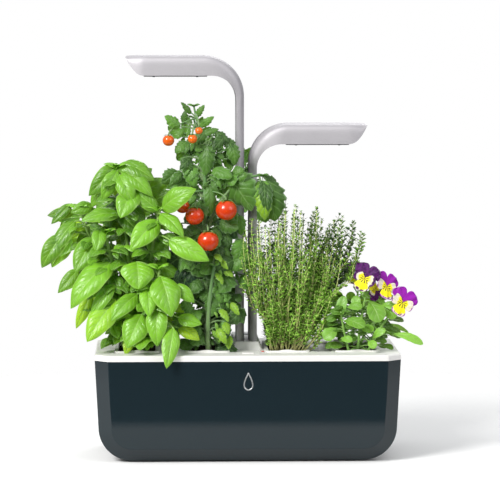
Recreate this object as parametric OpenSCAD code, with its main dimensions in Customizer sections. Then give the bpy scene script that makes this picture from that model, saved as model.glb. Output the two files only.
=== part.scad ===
// Countertop hydroponic garden: a glossy planter that is its own water tank, a white tray with four
// plug-in plant pods, and two curved lamps whose masts slide up and down in the middle of the tray.
// Millimetres. Z is up, X runs along the front, -Y is the front, and the origin is on the table
// under the middle of the planter.

/* [Planter] */
// Width of the planter over its rim
planter_w = 320; // [312:1:340]
// Depth of the planter over its rim
planter_d = 172; // [170:1:190]
// Height of the planter rim above the table
rim_z = 107.5; // [104:0.5:115]
// Wall thickness of the planter
planter_wall = 2.6; // [2:0.1:3.2]
// Lean of each planter end, in degrees
end_draft = 2.9; // [1:0.1:4]
// Lean of the front and rear faces, in degrees
face_draft = 1.6; // [0.5:0.1:2.5]
// Radius of the planter's lower corners
corner_r = 35; // [28:1:42]
// Width of the bevel round the front and rear faces
bevel = 14; // [10:1:18]
// How far the rubber foot lifts the planter off the table
foot_lift = 1.5; // [1:0.1:3]
// Length of the rubber foot, which is one flat ring
foot_l = 220; // [180:2:230]
// Depth of the rubber foot from front to rear
foot_d = 120; // [90:2:128]
// Width of the rubber foot's band
foot_band = 9; // [6:0.5:14]
// Depth of the groove that holds the foot
foot_recess = 1.2; // [0.8:0.1:1.6]

/* [Tray] */
// Height of the tray's white lip above the planter rim
lip_h = 6; // [5:0.5:9]
// Width of the soft edge round the top of the lip
lip_edge = 1.2; // [0.6:0.1:2]
// Thickness of the tray's deck
deck_t = 2.2; // [1.6:0.1:3]
// How far the locating skirt reaches into the planter
skirt_h = 10; // [6:0.5:14]
// Thickness of the skirt
skirt_t = 2; // [1.4:0.1:3]
// Depth of the drip troughs between the pods
trough_depth = 3; // [1.5:0.1:4]

/* [Pods] */
// Middle of an inner pod from the middle of the tray
pod_inner_x = 42; // [41:0.5:46]
// Middle of an outer pod from the middle of the tray
pod_outer_x = 116; // [106:1:118]
// Width of a pod's flange
pod_w = 47; // [42:0.5:48]
// Length of a pod's flange, front to rear
pod_l = 111; // [100:1:120]
// Depth of a pod below its flange
pod_depth = 44; // [34:1:48]
// Width of the flange that rests on the tray
pod_flange = 2.4; // [1.8:0.1:3]
// Wall thickness of a pod
pod_wall = 1.4; // [1:0.1:2]
// Inward taper of a pod from flange to base
pod_taper = 2.5; // [1:0.5:4]
// Width of a felt wick
wick_w = 22; // [14:1:28]
// Thickness of a felt wick
wick_t = 2.4; // [1.5:0.1:4]

/* [Lamps] */
// Thickness of a mast
mast_t = 8.5; // [7:0.1:9.5]
// Width of a mast, front to rear
mast_w = 50; // [44:1:52]
// Gap between the two masts
mast_gap = 4.6; // [3.6:0.2:6]
// Thickness of a lamp head
head_h = 21; // [18:0.5:26]
// Width of a lamp head, front to rear
head_w = 64; // [58:1:66]
// Reach of a lamp from the back of its mast to its tip
head_reach = 125; // [116:1:132]
// Height of a head's top when its mast is pushed down
head_low_z = 352; // [345:0.5:370]
// Travel of a mast
lamp_travel = 72; // [60:1:74]
// Outer radius of the bend
bend_outer_r = 43; // [38:1:50]
// Inner radius of the bend
bend_inner_r = 26; // [22:1:30]
// Length of the slanted tip
tip_l = 20; // [16:1:28]
// Length of the window for the light
window_l = 60; // [40:1:64]
// Width of the window for the light
window_w = 48; // [36:1:50]

/* [Fits] */
// Running clearance on each side of a mast
mast_fit = 0.2; // [0.15:0.05:0.35]
// Clearance round a pod in its well
pod_fit = 0.35; // [0.2:0.05:0.6]
// Clearance of a part that is held in place
seat_fit = 0.15; // [0.1:0.05:0.25]

/* [Middle of the tray] */
// Width of the lamp base at its top
base_top_w = 26.5; // [25:0.5:29]
// Width of the lamp base where it meets the tray
base_foot_w = 33; // [31:0.5:34]
// Height of the lamp base over the tray
base_h = 8.5; // [7:0.5:11]
// Wall thickness of the lamp base
base_wall = 2; // [1.6:0.1:2.4]
// Radius of the light button
button_r = 6; // [4.5:0.25:7]
// Travel of the light button
button_travel = 1.2; // [0.8:0.1:1.6]
// Width of the refill flap
flap_w = 26; // [22:1:27]
// Length of the refill flap
flap_l = 30; // [24:1:31]
// Thickness of the refill flap
flap_t = 1.8; // [1.4:0.1:2.2]
// Radius of the float
float_r = 11; // [8:0.5:12]
// Height of the float
float_h = 16; // [12:1:20]

/* [Hidden] */

$fn = 48;
eps = 0.01;            // a slab this thin stands for an outline inside a hull
cut = 1;               // how far a cutter runs past what it cuts
arc_steps = 4;         // flats in a quarter turn of a rounded rectangle
corner_share = sqrt(2) - 1;                       // how far a bevel's edge moves when its wall thickens
skirt_in = planter_wall + 0.5 + skirt_h * tan(end_draft);
tray_z = rim_z + lip_h;
deck_under = tray_z - deck_t;
floor_z = foot_lift + planter_wall;
pod_xs = [-pod_outer_x, -pod_inner_x, pod_inner_x, pod_outer_x];
pod_rim_t = 1.6;                                  // thickness of a pod's flange
pod_floor_t = 1.6;
pod_base_z = tray_z - pod_depth;
soil_z = tray_z + pod_rim_t - 5;                  // top of the growing medium
hole_w = pod_w - 2 * pod_flange + 2 * pod_fit;    // opening of a pod's well in the tray
hole_l = pod_l - 2 * pod_flange + 2 * pod_fit;
collar_t = 1.5;                                   // wall round a pod's well
mast_in = mast_gap / 2;                           // face of a mast that looks at its twin
mast_out = mast_in + mast_t;
mast_mid = (mast_in + mast_out) / 2;
guide_h = 26;
guide_z = tray_z - guide_h;
guide_rim_t = 1.4;
guide_rim = 0.8;                                  // how far the guide's rim overhangs the deck
guide_x = mast_out + mast_fit + 1.9;              // half width of the guide
guide_y = mast_w / 2 + mast_fit + 2;              // half length of the guide
pad_l = 24;
pad_h = 14;
pad_fit = 0.1;
pad_back_x = guide_x - 0.6;
foot_cap_h = 4;                                   // height of the cap under a mast
peg_r = 1.5;
peg_h = 8;
mast_low_z = guide_z - 0.3 - foot_cap_h - lamp_travel;
well_floor_z = mast_low_z - 0.3;
well_wall = 1.6;
well_x = guide_x + seat_fit;
well_y = guide_y + seat_fit;
base_front_y = -mast_w / 2 - 5;
base_rear_y = planter_d / 2 - 14;
block_top_z = tray_z + base_h;
block_under_z = block_top_z - base_wall;
box_front_y = well_y + well_wall + 7;
box_rear_y = base_rear_y - 6;
box_h = 16;                                       // depth of the control box under the deck
box_z = deck_under - box_h;
post_h = 6;
board_t = 1.6;
board_z = box_z + post_h + board_t;               // top of the control board
screw_x = base_top_w / 2 - base_wall - 0.3;
screw_front_y = (well_y + well_wall + box_front_y) / 2;
screw_rear_y = box_rear_y + 3.2;
inlet_z = tray_z + 3.4;
inlet_r = 2.8;
inlet_l = 11;
button_y = (box_front_y + box_rear_y) / 2 - 4;
button_rise = 0.8;                                // how far the button stands over the lamp base
button_z = tray_z + 2.2;
switch_z = button_z - button_travel - 0.4;
pin_r = 0.9;
knuckle_r = pin_r + 1;
hinge_y = base_front_y - 7;
hinge_z = tray_z - knuckle_r;
flap_fit = 0.3;
ledge_w = 3;                                      // rim of the refill port that the flap rests on
rod_r = 1.5;
rod_x = flap_w / 2 + 3.2;
rod_y = hinge_y - 10;
float_x = rod_x - 4;
float_z = floor_z + 0.3;
float_bore = 8;                                   // depth of the rod's socket in the float
bend_x = mast_in + bend_outer_r;                  // where the bend ends and the head runs level
under_z = head_low_z - head_h;
tip_x = mast_in + head_reach;
window_x = tip_x - tip_l - 2.4 - window_l;        // near end of the light window
pocket_depth = 8;
led_board_t = 2.4;
led_h = 1.3;
lens_t = 1.8;
bezel_t = 1;
lens_seat = 0.6;

// ---------- outlines ----------

function arc_points(c, r, from, to, n) =
    [for (i = [0:n]) let (a = from + (to - from) * i / n) [c[0] + r * cos(a), c[1] + r * sin(a)]];

function rounded_rect(w, l, r) = let (x = w / 2 - r, y = l / 2 - r) concat(
    arc_points([x, y], r, 0, 90, arc_steps), arc_points([-x, y], r, 90, 180, arc_steps),
    arc_points([-x, -y], r, 180, 270, arc_steps), arc_points([x, -y], r, 270, 360, arc_steps));

module rounded_plate(w, l, r, z0, z1) {
    translate([0, 0, z0]) linear_extrude(z1 - z0) polygon(rounded_rect(w, l, r));
}

module box_between(a, b) {
    translate(a) cube(b - a);
}

// The rim seen from above: a rectangle whose corners are cut off by the bevel.
module rim_outline(inset) {
    x = planter_w / 2 - inset;
    y = planter_d / 2 - inset;
    c = bevel - inset * (2 - sqrt(2));
    polygon([[x, c - y], [x, y - c], [x - c, y], [c - x, y], [-x, y - c], [-x, c - y], [c - x, -y],
        [x - c, -y]]);
}

// The planter seen from the front, up to the height top: leaning ends and two round lower corners.
module end_outline(inset, setback, top) {
    r = corner_r - inset;
    base = rim_z - (rim_z - foot_lift - inset + setback * sin(face_draft)) / cos(face_draft);
    corner_x = planter_w / 2 - (inset + r) / cos(end_draft) - (rim_z - base - r) * tan(end_draft);
    top_x = planter_w / 2 - inset / cos(end_draft) + (top - rim_z) * tan(end_draft);
    polygon(concat(arc_points([corner_x, base + r], r, -90, -end_draft, 2 * arc_steps), [[top_x, top],
        [-top_x, top]],
        arc_points([-corner_x, base + r], r, 180 + end_draft, 270, 2 * arc_steps)));
}

// A leaning, bevelled tub; inset shrinks it all over, so the same module makes its inside.
module tub(inset, top) {
    hull() for (s = [-1, 1]) translate([0, s * planter_d / 2, rim_z]) rotate([-s * face_draft, 0, 0]) {
        for (ring = [[inset, bevel + inset * corner_share], [bevel + inset * corner_share, inset]])
            translate([0, -s * ring[1], -rim_z]) rotate([90, 0, 0])
                linear_extrude(eps, center = true) end_outline(ring[0], ring[1], top);
    }
}

// ---------- planter ----------

module foot_ring(grow, z0, z1) {
    difference() {
        rounded_plate(foot_l + 2 * grow, foot_d + 2 * grow, 14 + grow, z0, z1);
        rounded_plate(foot_l - 2 * foot_band - 2 * grow, foot_d - 2 * foot_band - 2 * grow,
            14 - foot_band - grow,
            z0 - cut, z1 + cut);
    }
}

module planter_tank() {
    color([0.13, 0.16, 0.18]) difference() {
        intersection() {
            tub(0, rim_z + 2);
            translate([-planter_w, -planter_d, 0]) cube([2 * planter_w, 2 * planter_d, rim_z]);
        }
        tub(planter_wall, rim_z + 4);
        foot_ring(seat_fit, foot_lift - cut, foot_lift + foot_recess);
    }
}

module rubber_foot() {
    color([0.1, 0.1, 0.1]) foot_ring(0, 0, foot_lift + foot_recess);
}

// ---------- tray ----------

module top_tray() {
    trough_x = (pod_inner_x + pod_outer_x) / 2;
    trough_w = pod_outer_x - pod_inner_x - pod_w - 6;
    flap_x = flap_w / 2 + flap_fit;
    knuckle_z = hinge_z - knuckle_r - flap_fit;
    color([0.95, 0.95, 0.94]) difference() {
        union() {
            difference() {
                union() {
                    hull() {
                        translate([0, 0, rim_z]) linear_extrude(lip_h - lip_edge) rim_outline(0);
                        translate([0, 0, rim_z]) linear_extrude(lip_h) rim_outline(lip_edge);
                    }
                    translate([0, 0, rim_z - skirt_h]) linear_extrude(skirt_h + eps) rim_outline(skirt_in);
                }
                translate([0, 0, rim_z - skirt_h - cut]) linear_extrude(skirt_h + lip_h - deck_t + cut)
                    rim_outline(skirt_in + skirt_t);
            }
            for (x = pod_xs) translate([x, 0, 0])
                rounded_plate(hole_w + 2 * collar_t, hole_l + 2 * collar_t, 5, rim_z - skirt_h,
                    tray_z - deck_t / 2);
            for (s = [-1, 1]) translate([s * trough_x, 0, 0])
                rounded_plate(trough_w + 3, pod_l - 12, 5, tray_z - trough_depth - 1.2,
                    tray_z - deck_t / 2);
            box_between([-flap_x - 1, hinge_y - flap_l - flap_fit - 1, knuckle_z - 1],
                [flap_x + 1, hinge_y + knuckle_r + flap_fit + 1, tray_z - deck_t / 2]);
        }
        for (x = pod_xs) translate([x, 0, 0]) rounded_plate(hole_w, hole_l, 4, rim_z - skirt_h - cut,
            tray_z + cut);
        for (s = [-1, 1]) translate([s * trough_x, 0, 0])
            rounded_plate(trough_w, pod_l - 15, 4, tray_z - trough_depth, tray_z + cut);
        box_between([-well_x, -well_y, deck_under - cut], [well_x, well_y, tray_z + cut]);
        box_between([-guide_x, box_front_y + well_wall, deck_under - cut], [guide_x,
            box_rear_y - well_wall, tray_z + cut]);
        box_between([-flap_x, hinge_y - flap_l - flap_fit, tray_z - flap_t - 0.2],
            [flap_x, hinge_y + knuckle_r + flap_fit, tray_z + cut]);
        box_between([-flap_x, hinge_y - knuckle_r - flap_fit, knuckle_z], [flap_x,
            hinge_y + knuckle_r + flap_fit, tray_z]);
        box_between([ledge_w - flap_w / 2, hinge_y - flap_l + ledge_w, knuckle_z - 2],
            [flap_w / 2 - ledge_w, hinge_y - knuckle_r - ledge_w, tray_z]);
        translate([-flap_x - 0.9, hinge_y, hinge_z]) rotate([0, 90, 0])
            cylinder(h = 2 * flap_x + 1.8, r = pin_r + 0.03);
        translate([rod_x, rod_y, deck_under - cut]) cylinder(h = deck_t + 2 * cut, r = rod_r + 0.1);
        at_base_screws() translate([0, 0, deck_under - cut]) cylinder(h = deck_t + 2 * cut, r = 1.2);
    }
}

// ---------- middle of the tray: lamp base, guide, well, controls ----------

module at_base_screws() {
    for (x = [-screw_x, screw_x], y = [screw_front_y, screw_rear_y]) translate([x, y, 0]) children();
}

// The raised block, as a frustum; inset makes its inside.
module base_block(inset, z0) {
    block_l = base_rear_y - base_front_y;
    top = rounded_rect(base_top_w - 2 * inset, block_l - 1 - 2 * inset, 2.5);
    foot = rounded_rect(base_foot_w - 2 * inset, block_l + 1.5 - 2 * inset, 2.5);
    translate([0, (base_front_y + base_rear_y) / 2, 0]) polyhedron(
        points = concat([for (p = top) [p[0], p[1], block_top_z - inset]], [for (p = foot) [p[0], p[1],
            z0]]),
        faces = loft_faces(2, len(top)));
}

// Openings shaped like the two masts, larger all round by fit.
module mast_slots(z0, z1, fit) {
    for (s = [-1, 1]) translate([0, 0, z0]) scale([s, 1, 1]) linear_extrude(z1 - z0)
        polygon([for (q = arm_ring([[mast_in - fit, 0], [mast_out + fit, 0], mast_w / 2 + fit])) [q[0],
            q[1]]]);
}

module lamp_base() {
    color([0.9, 0.9, 0.89]) difference() {
        union() {
            difference() {
                base_block(0, tray_z);
                base_block(base_wall, tray_z - eps);
            }
            at_base_screws() translate([0, 0, tray_z]) cylinder(h = base_h - base_wall - 1.5, r = 1.85);
        }
        mast_slots(tray_z, block_top_z + cut, mast_fit + 0.1);
        translate([0, button_y, tray_z]) cylinder(h = base_h + cut, r = button_r + 0.2);
        translate([0, base_rear_y - 6, inlet_z]) rotate([-90, 0, 0]) cylinder(h = 9, r = inlet_r + 0.2);
        at_base_screws() translate([0, 0, tray_z - cut]) cylinder(h = 5, r = 0.9);
    }
}

module base_screws() {
    color([0.6, 0.6, 0.62]) at_base_screws() union() {
        translate([0, 0, deck_under - 1.5]) cylinder(h = 1.5, r = 2.1);
        translate([0, 0, deck_under - eps]) cylinder(h = deck_t + 3.6, r = 0.88);
    }
}

module pad_space(s, x0, x1, grow) {
    translate([s * (x0 + x1) / 2, 0, guide_z + guide_h / 2 - 2])
        cube([x1 - x0, pad_l + 2 * grow, pad_h + 2 * grow], center = true);
}

module mast_guide() {
    color([0.55, 0.56, 0.58]) difference() {
        union() {
            box_between([-guide_x, -guide_y, guide_z], [guide_x, guide_y, tray_z + guide_rim_t]);
            rounded_plate(2 * (guide_x + guide_rim), 2 * (guide_y + guide_rim), 2.5, tray_z,
                tray_z + guide_rim_t);
        }
        mast_slots(guide_z - cut, tray_z + guide_rim_t + cut, mast_fit);
        for (s = [-1, 1]) pad_space(s, mast_out, pad_back_x, 0.1);
    }
}

module friction_pad(s) {
    color([0.2, 0.2, 0.2]) pad_space(s, mast_out + pad_fit, pad_back_x, 0);
}

module mast_well() {
    color([0.86, 0.87, 0.88]) difference() {
        box_between([-well_x - well_wall, -well_y - well_wall, well_floor_z - well_wall],
            [well_x + well_wall, well_y + well_wall, deck_under]);
        box_between([-well_x, -well_y, well_floor_z], [well_x, well_y, deck_under + cut]);
    }
}

module control_box() {
    inner_y0 = box_front_y + well_wall;
    inner_y1 = box_rear_y - well_wall;
    color([0.86, 0.87, 0.88]) union() {
        difference() {
            box_between([-guide_x - well_wall, box_front_y, box_z], [guide_x + well_wall, box_rear_y,
                deck_under]);
            box_between([-guide_x, inner_y0, box_z + well_wall], [guide_x, inner_y1, deck_under + cut]);
        }
        for (x = [-guide_x + 3, guide_x - 3], y = [inner_y0 + 3, inner_y1 - 3]) translate([x, y, box_z])
            cylinder(h = post_h, r = 2);
    }
}

module control_board() {
    half_w = guide_x - 0.5;
    color([0.1, 0.42, 0.2]) union() {
        box_between([-half_w, box_front_y + well_wall + 0.5, board_z - board_t], [half_w,
            box_rear_y - well_wall - 0.5, board_z]);
        box_between([-3, button_y - 3, board_z - eps], [3, button_y + 3, switch_z]);
        box_between([5, button_y - 8, board_z - eps], [10, button_y + 2, board_z + 2.2]);
        translate([-8, button_y + 7, board_z - eps]) cylinder(h = 8, r = 2.5);
    }
}

module power_inlet() {
    y1 = base_rear_y - 1.5;
    color([0.08, 0.08, 0.08]) difference() {
        union() {
            translate([0, y1, inlet_z]) rotate([90, 0, 0]) cylinder(h = inlet_l, r = inlet_r);
            box_between([-3, y1 - inlet_l, board_z], [3, y1 - inlet_l + 3.5, inlet_z]);
        }
        difference() {
            translate([0, y1 + cut, inlet_z]) rotate([90, 0, 0]) cylinder(h = 8.5 + cut, r = 2.1);
            translate([0, y1 + 2 * cut, inlet_z]) rotate([90, 0, 0]) cylinder(h = 12, r = 0.8);
        }
    }
}

module light_button() {
    color([0.75, 0.76, 0.78]) union() {
        translate([0, button_y, button_z]) cylinder(h = block_top_z + button_rise - button_z, r = button_r);
        translate([0, button_y, block_under_z - 0.3 - 1.6]) cylinder(h = 1.6, r = button_r + 1.1);
    }
}

module refill_flap() {
    color([0.95, 0.95, 0.94]) difference() {
        union() {
            box_between([-flap_w / 2, hinge_y - flap_l, tray_z - flap_t], [flap_w / 2, hinge_y, tray_z]);
            translate([-flap_w / 2, hinge_y, hinge_z]) rotate([0, 90, 0])
                cylinder(h = flap_w, r = knuckle_r);
            box_between([-6, hinge_y - flap_l + 1, tray_z - eps], [6, hinge_y - flap_l + 2.6,
                tray_z + 0.9]);
        }
        translate([-flap_w / 2 - cut, hinge_y, hinge_z]) rotate([0, 90, 0])
            cylinder(h = flap_w + 2 * cut, r = pin_r + 0.05);
    }
}

module flap_hinge_pin() {
    half_l = flap_w / 2 + flap_fit + 0.8;
    color([0.6, 0.6, 0.62]) translate([-half_l, hinge_y, hinge_z]) rotate([0, 90, 0])
        cylinder(h = 2 * half_l, r = pin_r);
}

module level_float() {
    color([0.93, 0.93, 0.9]) difference() {
        translate([float_x, rod_y, float_z]) cylinder(h = float_h, r = float_r);
        translate([rod_x, rod_y, float_z + float_h - float_bore])
            cylinder(h = float_bore + cut, r = rod_r + 0.02);
    }
}

module level_rod() {
    z0 = float_z + float_h - float_bore;
    color([0.85, 0.2, 0.15]) translate([rod_x, rod_y, z0]) cylinder(h = tray_z + 0.8 - z0, r = rod_r);
}

// ---------- lamps ----------

function bend_outer(a) = [bend_x - bend_outer_r * cos(a), head_low_z - bend_outer_r * (1 - sin(a))];
function bend_inner(a) = [mast_out + bend_inner_r * (1 - cos(a)), under_z - bend_inner_r * (1 - sin(a))];
function tip_rise(u) = (head_h - 0.9) * pow(u, 2.3);
function head_half_w(x) = x < tip_x - tip_l ? head_w / 2 : head_w / 2 - 7 * pow((x - tip_x + tip_l) / tip_l, 2);

// Stations along the lamp: [point on the outer side, point on the inner side, half width].
function arm_stations() = concat(
    [for (z = [mast_low_z + foot_cap_h, under_z - bend_inner_r - 40]) [[mast_in, z], [mast_out, z],
        mast_w / 2]],
    [for (i = [0:9]) let (a = 10 * i, w = mast_w / 2 + (head_w - mast_w) / 2 * (1 - cos(2 * a)) / 2)
        [bend_outer(a), bend_inner(a), w]],
    [for (x = [bend_x + 10, tip_x - tip_l]) [[x, head_low_z], [x, under_z], head_w / 2]],
    [for (u = [0.25, 0.45, 0.62, 0.76, 0.87, 0.95, 1]) let (x = tip_x - tip_l * (1 - u))
        [[x, head_low_z - 0.9 * pow(u, 6)], [x, under_z + tip_rise(u) - 0.9 * pow(u, 6)], head_half_w(x)]]);

dome_steps = 12;
dome_side = 0.42;       // how square the mast's section is across its width and through its thickness
dome_rise = 0.8;
slab_side = 0.2;        // the same for the head, which is flatter on top and straighter at its sides
slab_rise = 0.3;
// One ring of the arm: a flat inner side and a domed outer side, which turns squarer towards the head.
function arm_ring(st) =
    let (o = st[0], i = st[1], w = st[2],
        slab = max(0, min(1, (2 * w - mast_w) / (head_w - mast_w))))
    [for (k = [0:dome_steps])
        let (a = 180 * k / dome_steps, c = cos(a),
            p = sign(c) * pow(abs(c), dome_side - slab * (dome_side - slab_side)),
            q = pow(abs(sin(a)), dome_rise - slab * (dome_rise - slab_rise)))
        [i[0] + (o[0] - i[0]) * q, -w * p, i[1] + (o[1] - i[1]) * q]];

function loft_faces(rings, n) = concat(
    [for (j = [0:rings - 2], k = [0:n - 1]) let (a = j * n + k, b = j * n + (k + 1) % n)
        each [[a, b, b + n], [a, b + n, a + n]]],
    [for (k = [1:n - 2]) [0, k + 1, k]],
    [for (k = [1:n - 2]) let (e = (rings - 1) * n) [e, e + k, e + k + 1]]);

module arm_solid() {
    st = arm_stations();
    polyhedron(points = [for (s = st) each arm_ring(s)], faces = loft_faces(len(st), dome_steps + 1));
}

module right_side(s) {
    mirror([s < 0 ? 1 : 0, 0, 0]) translate([0, 0, s < 0 ? lamp_travel : 0]) children();
}

module window_plate(grow, z0, z1) {
    translate([window_x + window_l / 2, 0, 0]) rounded_plate(window_l + 2 * grow, window_w + 2 * grow,
        4, z0, z1);
}

module at_pegs() {
    for (y = [-1, 1]) translate([mast_mid + 0.6, y * mast_w * 0.3, mast_low_z + foot_cap_h]) children();
}

module lamp_arm(s) {
    color([0.76, 0.76, 0.78]) right_side(s) difference() {
        arm_solid();
        window_plate(0, under_z - cut, under_z + pocket_depth);
        at_bezel_screws() translate([0, 0, under_z - cut]) cylinder(h = 5, r = 0.8);
        at_pegs() translate([0, 0, -cut]) cylinder(h = peg_h + cut, r = peg_r + seat_fit);
    }
}

module led_board(s) {
    color([0.9, 0.92, 0.9]) right_side(s) window_plate(-0.5, under_z + pocket_depth - led_board_t,
        under_z + pocket_depth);
}

module leds(s) {
    color([1, 0.95, 0.7]) right_side(s) for (i = [0:4], j = [-1:1])
        translate([window_x + window_l * (i + 0.5) / 5, j * window_w / 3.4,
            under_z + pocket_depth - led_board_t - led_h])
            cylinder(h = led_h, r = 1.6);
}

module lens(s) {
    color([0.95, 0.96, 0.98, 0.6]) right_side(s) window_plate(-0.4, under_z + lens_seat,
        under_z + lens_seat + lens_t);
}

module at_bezel_screws() {
    for (x = [0.12, 0.88], y = [-1, 1]) translate([window_x + window_l * x, y * (window_w / 2 + 1.7),
        0]) children();
}

module bezel(s) {
    color([0.25, 0.25, 0.27]) right_side(s) difference() {
        union() {
            window_plate(3.4, under_z - bezel_t, under_z);
            window_plate(-0.4, under_z - eps, under_z + lens_seat);
        }
        window_plate(-2, under_z - bezel_t - cut, under_z + cut);
        at_bezel_screws() translate([0, 0, under_z - bezel_t - cut])
            cylinder(h = bezel_t + 2 * cut, r = 0.75);
    }
}

module bezel_screws(s) {
    color([0.6, 0.6, 0.62]) right_side(s) at_bezel_screws() union() {
        translate([0, 0, under_z - bezel_t - 0.5]) cylinder(h = 0.5, r = 1.2);
        translate([0, 0, under_z - bezel_t - eps]) cylinder(h = bezel_t + 3, r = 0.7);
    }
}

// The cap under a mast; its ends stop the mast at the guide when it is pulled up.
module mast_foot(s) {
    color([0.3, 0.3, 0.32]) right_side(s) union() {
        translate([mast_mid, 0, 0]) rounded_plate(mast_t, mast_w + 3, 0.6, mast_low_z,
            mast_low_z + foot_cap_h);
        at_pegs() translate([0, 0, -eps]) cylinder(h = peg_h - 0.5, r = peg_r);
    }
}

// ---------- pods ----------

// Sides of a pod at any height, smaller all round by inset.
module pod_shape(inset, z0, z1) {
    hull() for (z = [z0, z1 - eps]) let (d = 2 * (inset + pod_flange + pod_taper * (tray_z - z) / pod_depth))
        rounded_plate(pod_w - d, pod_l - d, 3, z, z + eps);
}

// A low wave on the front of the flange, to lift the pod by.
module finger_lip() {
    r = 40;
    translate([0, 0.8 - pod_l / 2, tray_z + pod_rim_t + 1.2 - r]) rotate([90, 0, 0]) intersection() {
        cylinder(h = 1.6, r = r, center = true, $fn = 96);
        translate([-12, r - 2, -2]) cube([24, 3, 4]);
    }
}

module pod_cup(x) {
    color([0.93, 0.93, 0.92]) translate([x, 0, 0]) difference() {
        union() {
            pod_shape(0, pod_base_z, tray_z + eps);
            rounded_plate(pod_w, pod_l, 5, tray_z, tray_z + pod_rim_t);
            finger_lip();
        }
        pod_shape(pod_wall, pod_base_z + pod_floor_t, tray_z + pod_rim_t + cut);
        translate([-wick_w / 2 - 0.3, -wick_t / 2 - 0.3, pod_base_z - cut])
            cube([wick_w + 0.6, wick_t + 0.6, pod_floor_t + 2 * cut]);
    }
}

module substrate(x) {
    color([0.13, 0.11, 0.1]) translate([x, 0, 0]) pod_shape(pod_wall + seat_fit,
        pod_base_z + pod_floor_t, soil_z);
}

module wick(x) {
    z0 = floor_z + 4;
    color([0.85, 0.84, 0.8]) translate([x - wick_w / 2, -wick_t / 2, z0])
        cube([wick_w, wick_t, pod_base_z + pod_floor_t - z0]);
}

// ---------- plants ----------

// A repeatable number from 0 to 1 for item i, kind k.
function chance(i, k) = let (v = sin(i * 127.1 + k * 311.7) * 43758.5453) v - floor(v);
function unit(v) = v / norm(v);
function bezier(s, t) = (1 - t) * (1 - t) * s[0] + 2 * t * (1 - t) * s[1] + t * t * s[2];

// A stem is [root, bend, top, radius at the root, radius at the top]; its rings stay level.
module stem(s, rings = 5, sides = 4) {
    pts = [for (j = [0:rings - 1]) let (t = j / (rings - 1), c = bezier(s, t), r = s[3] + (s[4] - s[3]) * t)
        for (k = [0:sides - 1]) c + r * [cos(360 * k / sides), -sin(360 * k / sides), 0]];
    polyhedron(points = pts, faces = loft_faces(rings, sides));
}

// Across-and-up directions for a ring round direction d2, turned from a leaf's own s and n.
function ring_frame(d2, s, n) = abs(n * d2) < abs(s * d2)
    ? let (n2 = unit(n - (n * d2) * d2)) [cross(d2, n2), n2]
    : let (s2 = unit(s - (s * d2) * d2)) [s2, cross(s2, d2)];

// A stalked leaf: stalk from root to base b, blade from b to tip t, width w, upper side along face.
// A positive cup lifts its edges and a negative one turns them down; arch bows the midrib.
module leaf(root, b, t, w, face, cup, arch, stalk_r, thick = 1) {
    len_leaf = norm(t - b);
    d = unit(t - b);
    n = unit(face - (face * d) * d);
    s = cross(d, n);
    d2 = unit(b - root);
    f1 = ring_frame(d2, s, n);
    f2 = ring_frame(unit(d * 1.2 + d2), s, n);
    at = w > 15 ? [[0.2, 0.82], [0.48, 1], [0.8, 0.6]] : [[0.3, 0.95], [0.7, 0.8]];
    pts = concat(
        [root - f1[0] * stalk_r, root + f1[1] * stalk_r, root + f1[0] * stalk_r, root - f1[1] * stalk_r],
        [b - f2[0] * stalk_r, b + f2[1] * stalk_r, b + f2[0] * stalk_r, b - f2[1] * stalk_r],
        [for (a = at) let (h = w / 2 * a[1],
            c = b + d * len_leaf * a[0] + n * arch * len_leaf * 4 * a[0] * (1 - a[0]))
            each [c - s * h + n * cup * h, c + n * thick / 2, c + s * h + n * cup * h, c - n * thick / 2]],
        [t]);
    rings = 2 + len(at);
    last = rings * 4;
    polyhedron(points = pts, faces = concat([[0, 1, 2], [0, 2, 3]],
        [for (j = [0:rings - 2], k = [0:3]) let (p = j * 4 + k, q = j * 4 + (k + 1) % 4)
            each [[p, q + 4, q], [p, p + 4, q + 4]]],
        [for (k = [0:3]) [last, last - 4 + (k + 1) % 4, last - 4 + k]]));
}

// The point of a stem nearest to p, a little below it.
function grow_point(s, p) = let (near = [for (j = [0:12]) norm(bezier(s, j / 12) - p)], best = min(near),
    t = [for (j = [0:12]) if (near[j] == best) j / 12][0]) bezier(s, max(0.06, t - 0.05));

// The rear of a bush repeats its front, a little smaller and with fewer leaves.
function behind(p) = [p[0] * 0.92, -p[1] * 0.96, p[2] * 0.94];
function stem_behind(s) = [behind(s[0]), behind(s[1]), behind(s[2]), s[3], s[4]];

// Leaf rows are [stem, base, tip, width].
module foliage(stems, rows, face, cup, arch, stalk_r) {
    for (s = stems) stem(s);
    for (i = [0:len(rows) - 1]) let (r = rows[i])
        leaf(grow_point(stems[r[0]], r[1]), r[1], r[2], r[3], face + [0.5 * (chance(i, 1) - 0.5), 0,
            0], cup, arch,
            stalk_r);
    for (s = stems) translate(s[2]) hull() {
        cylinder(h = 1, r = s[4] + 0.6, $fn = 4);
        translate([0, 0, 3.5]) cylinder(h = 0.5, r = 0.5, $fn = 4);
    }
}

module bush(stems, rows, cup, arch, stalk_r) {
    foliage(stems, rows, [0, -1, 0.4], cup, arch, stalk_r);
    foliage([for (s = stems) stem_behind(s)],
        [for (i = [0:3:len(rows) - 1]) let (r = rows[i]) [r[0], behind(r[1]), behind(r[2]), r[3] * 1.15]],
        [0, 1, 0.4], cup, arch, stalk_r);
}

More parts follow.
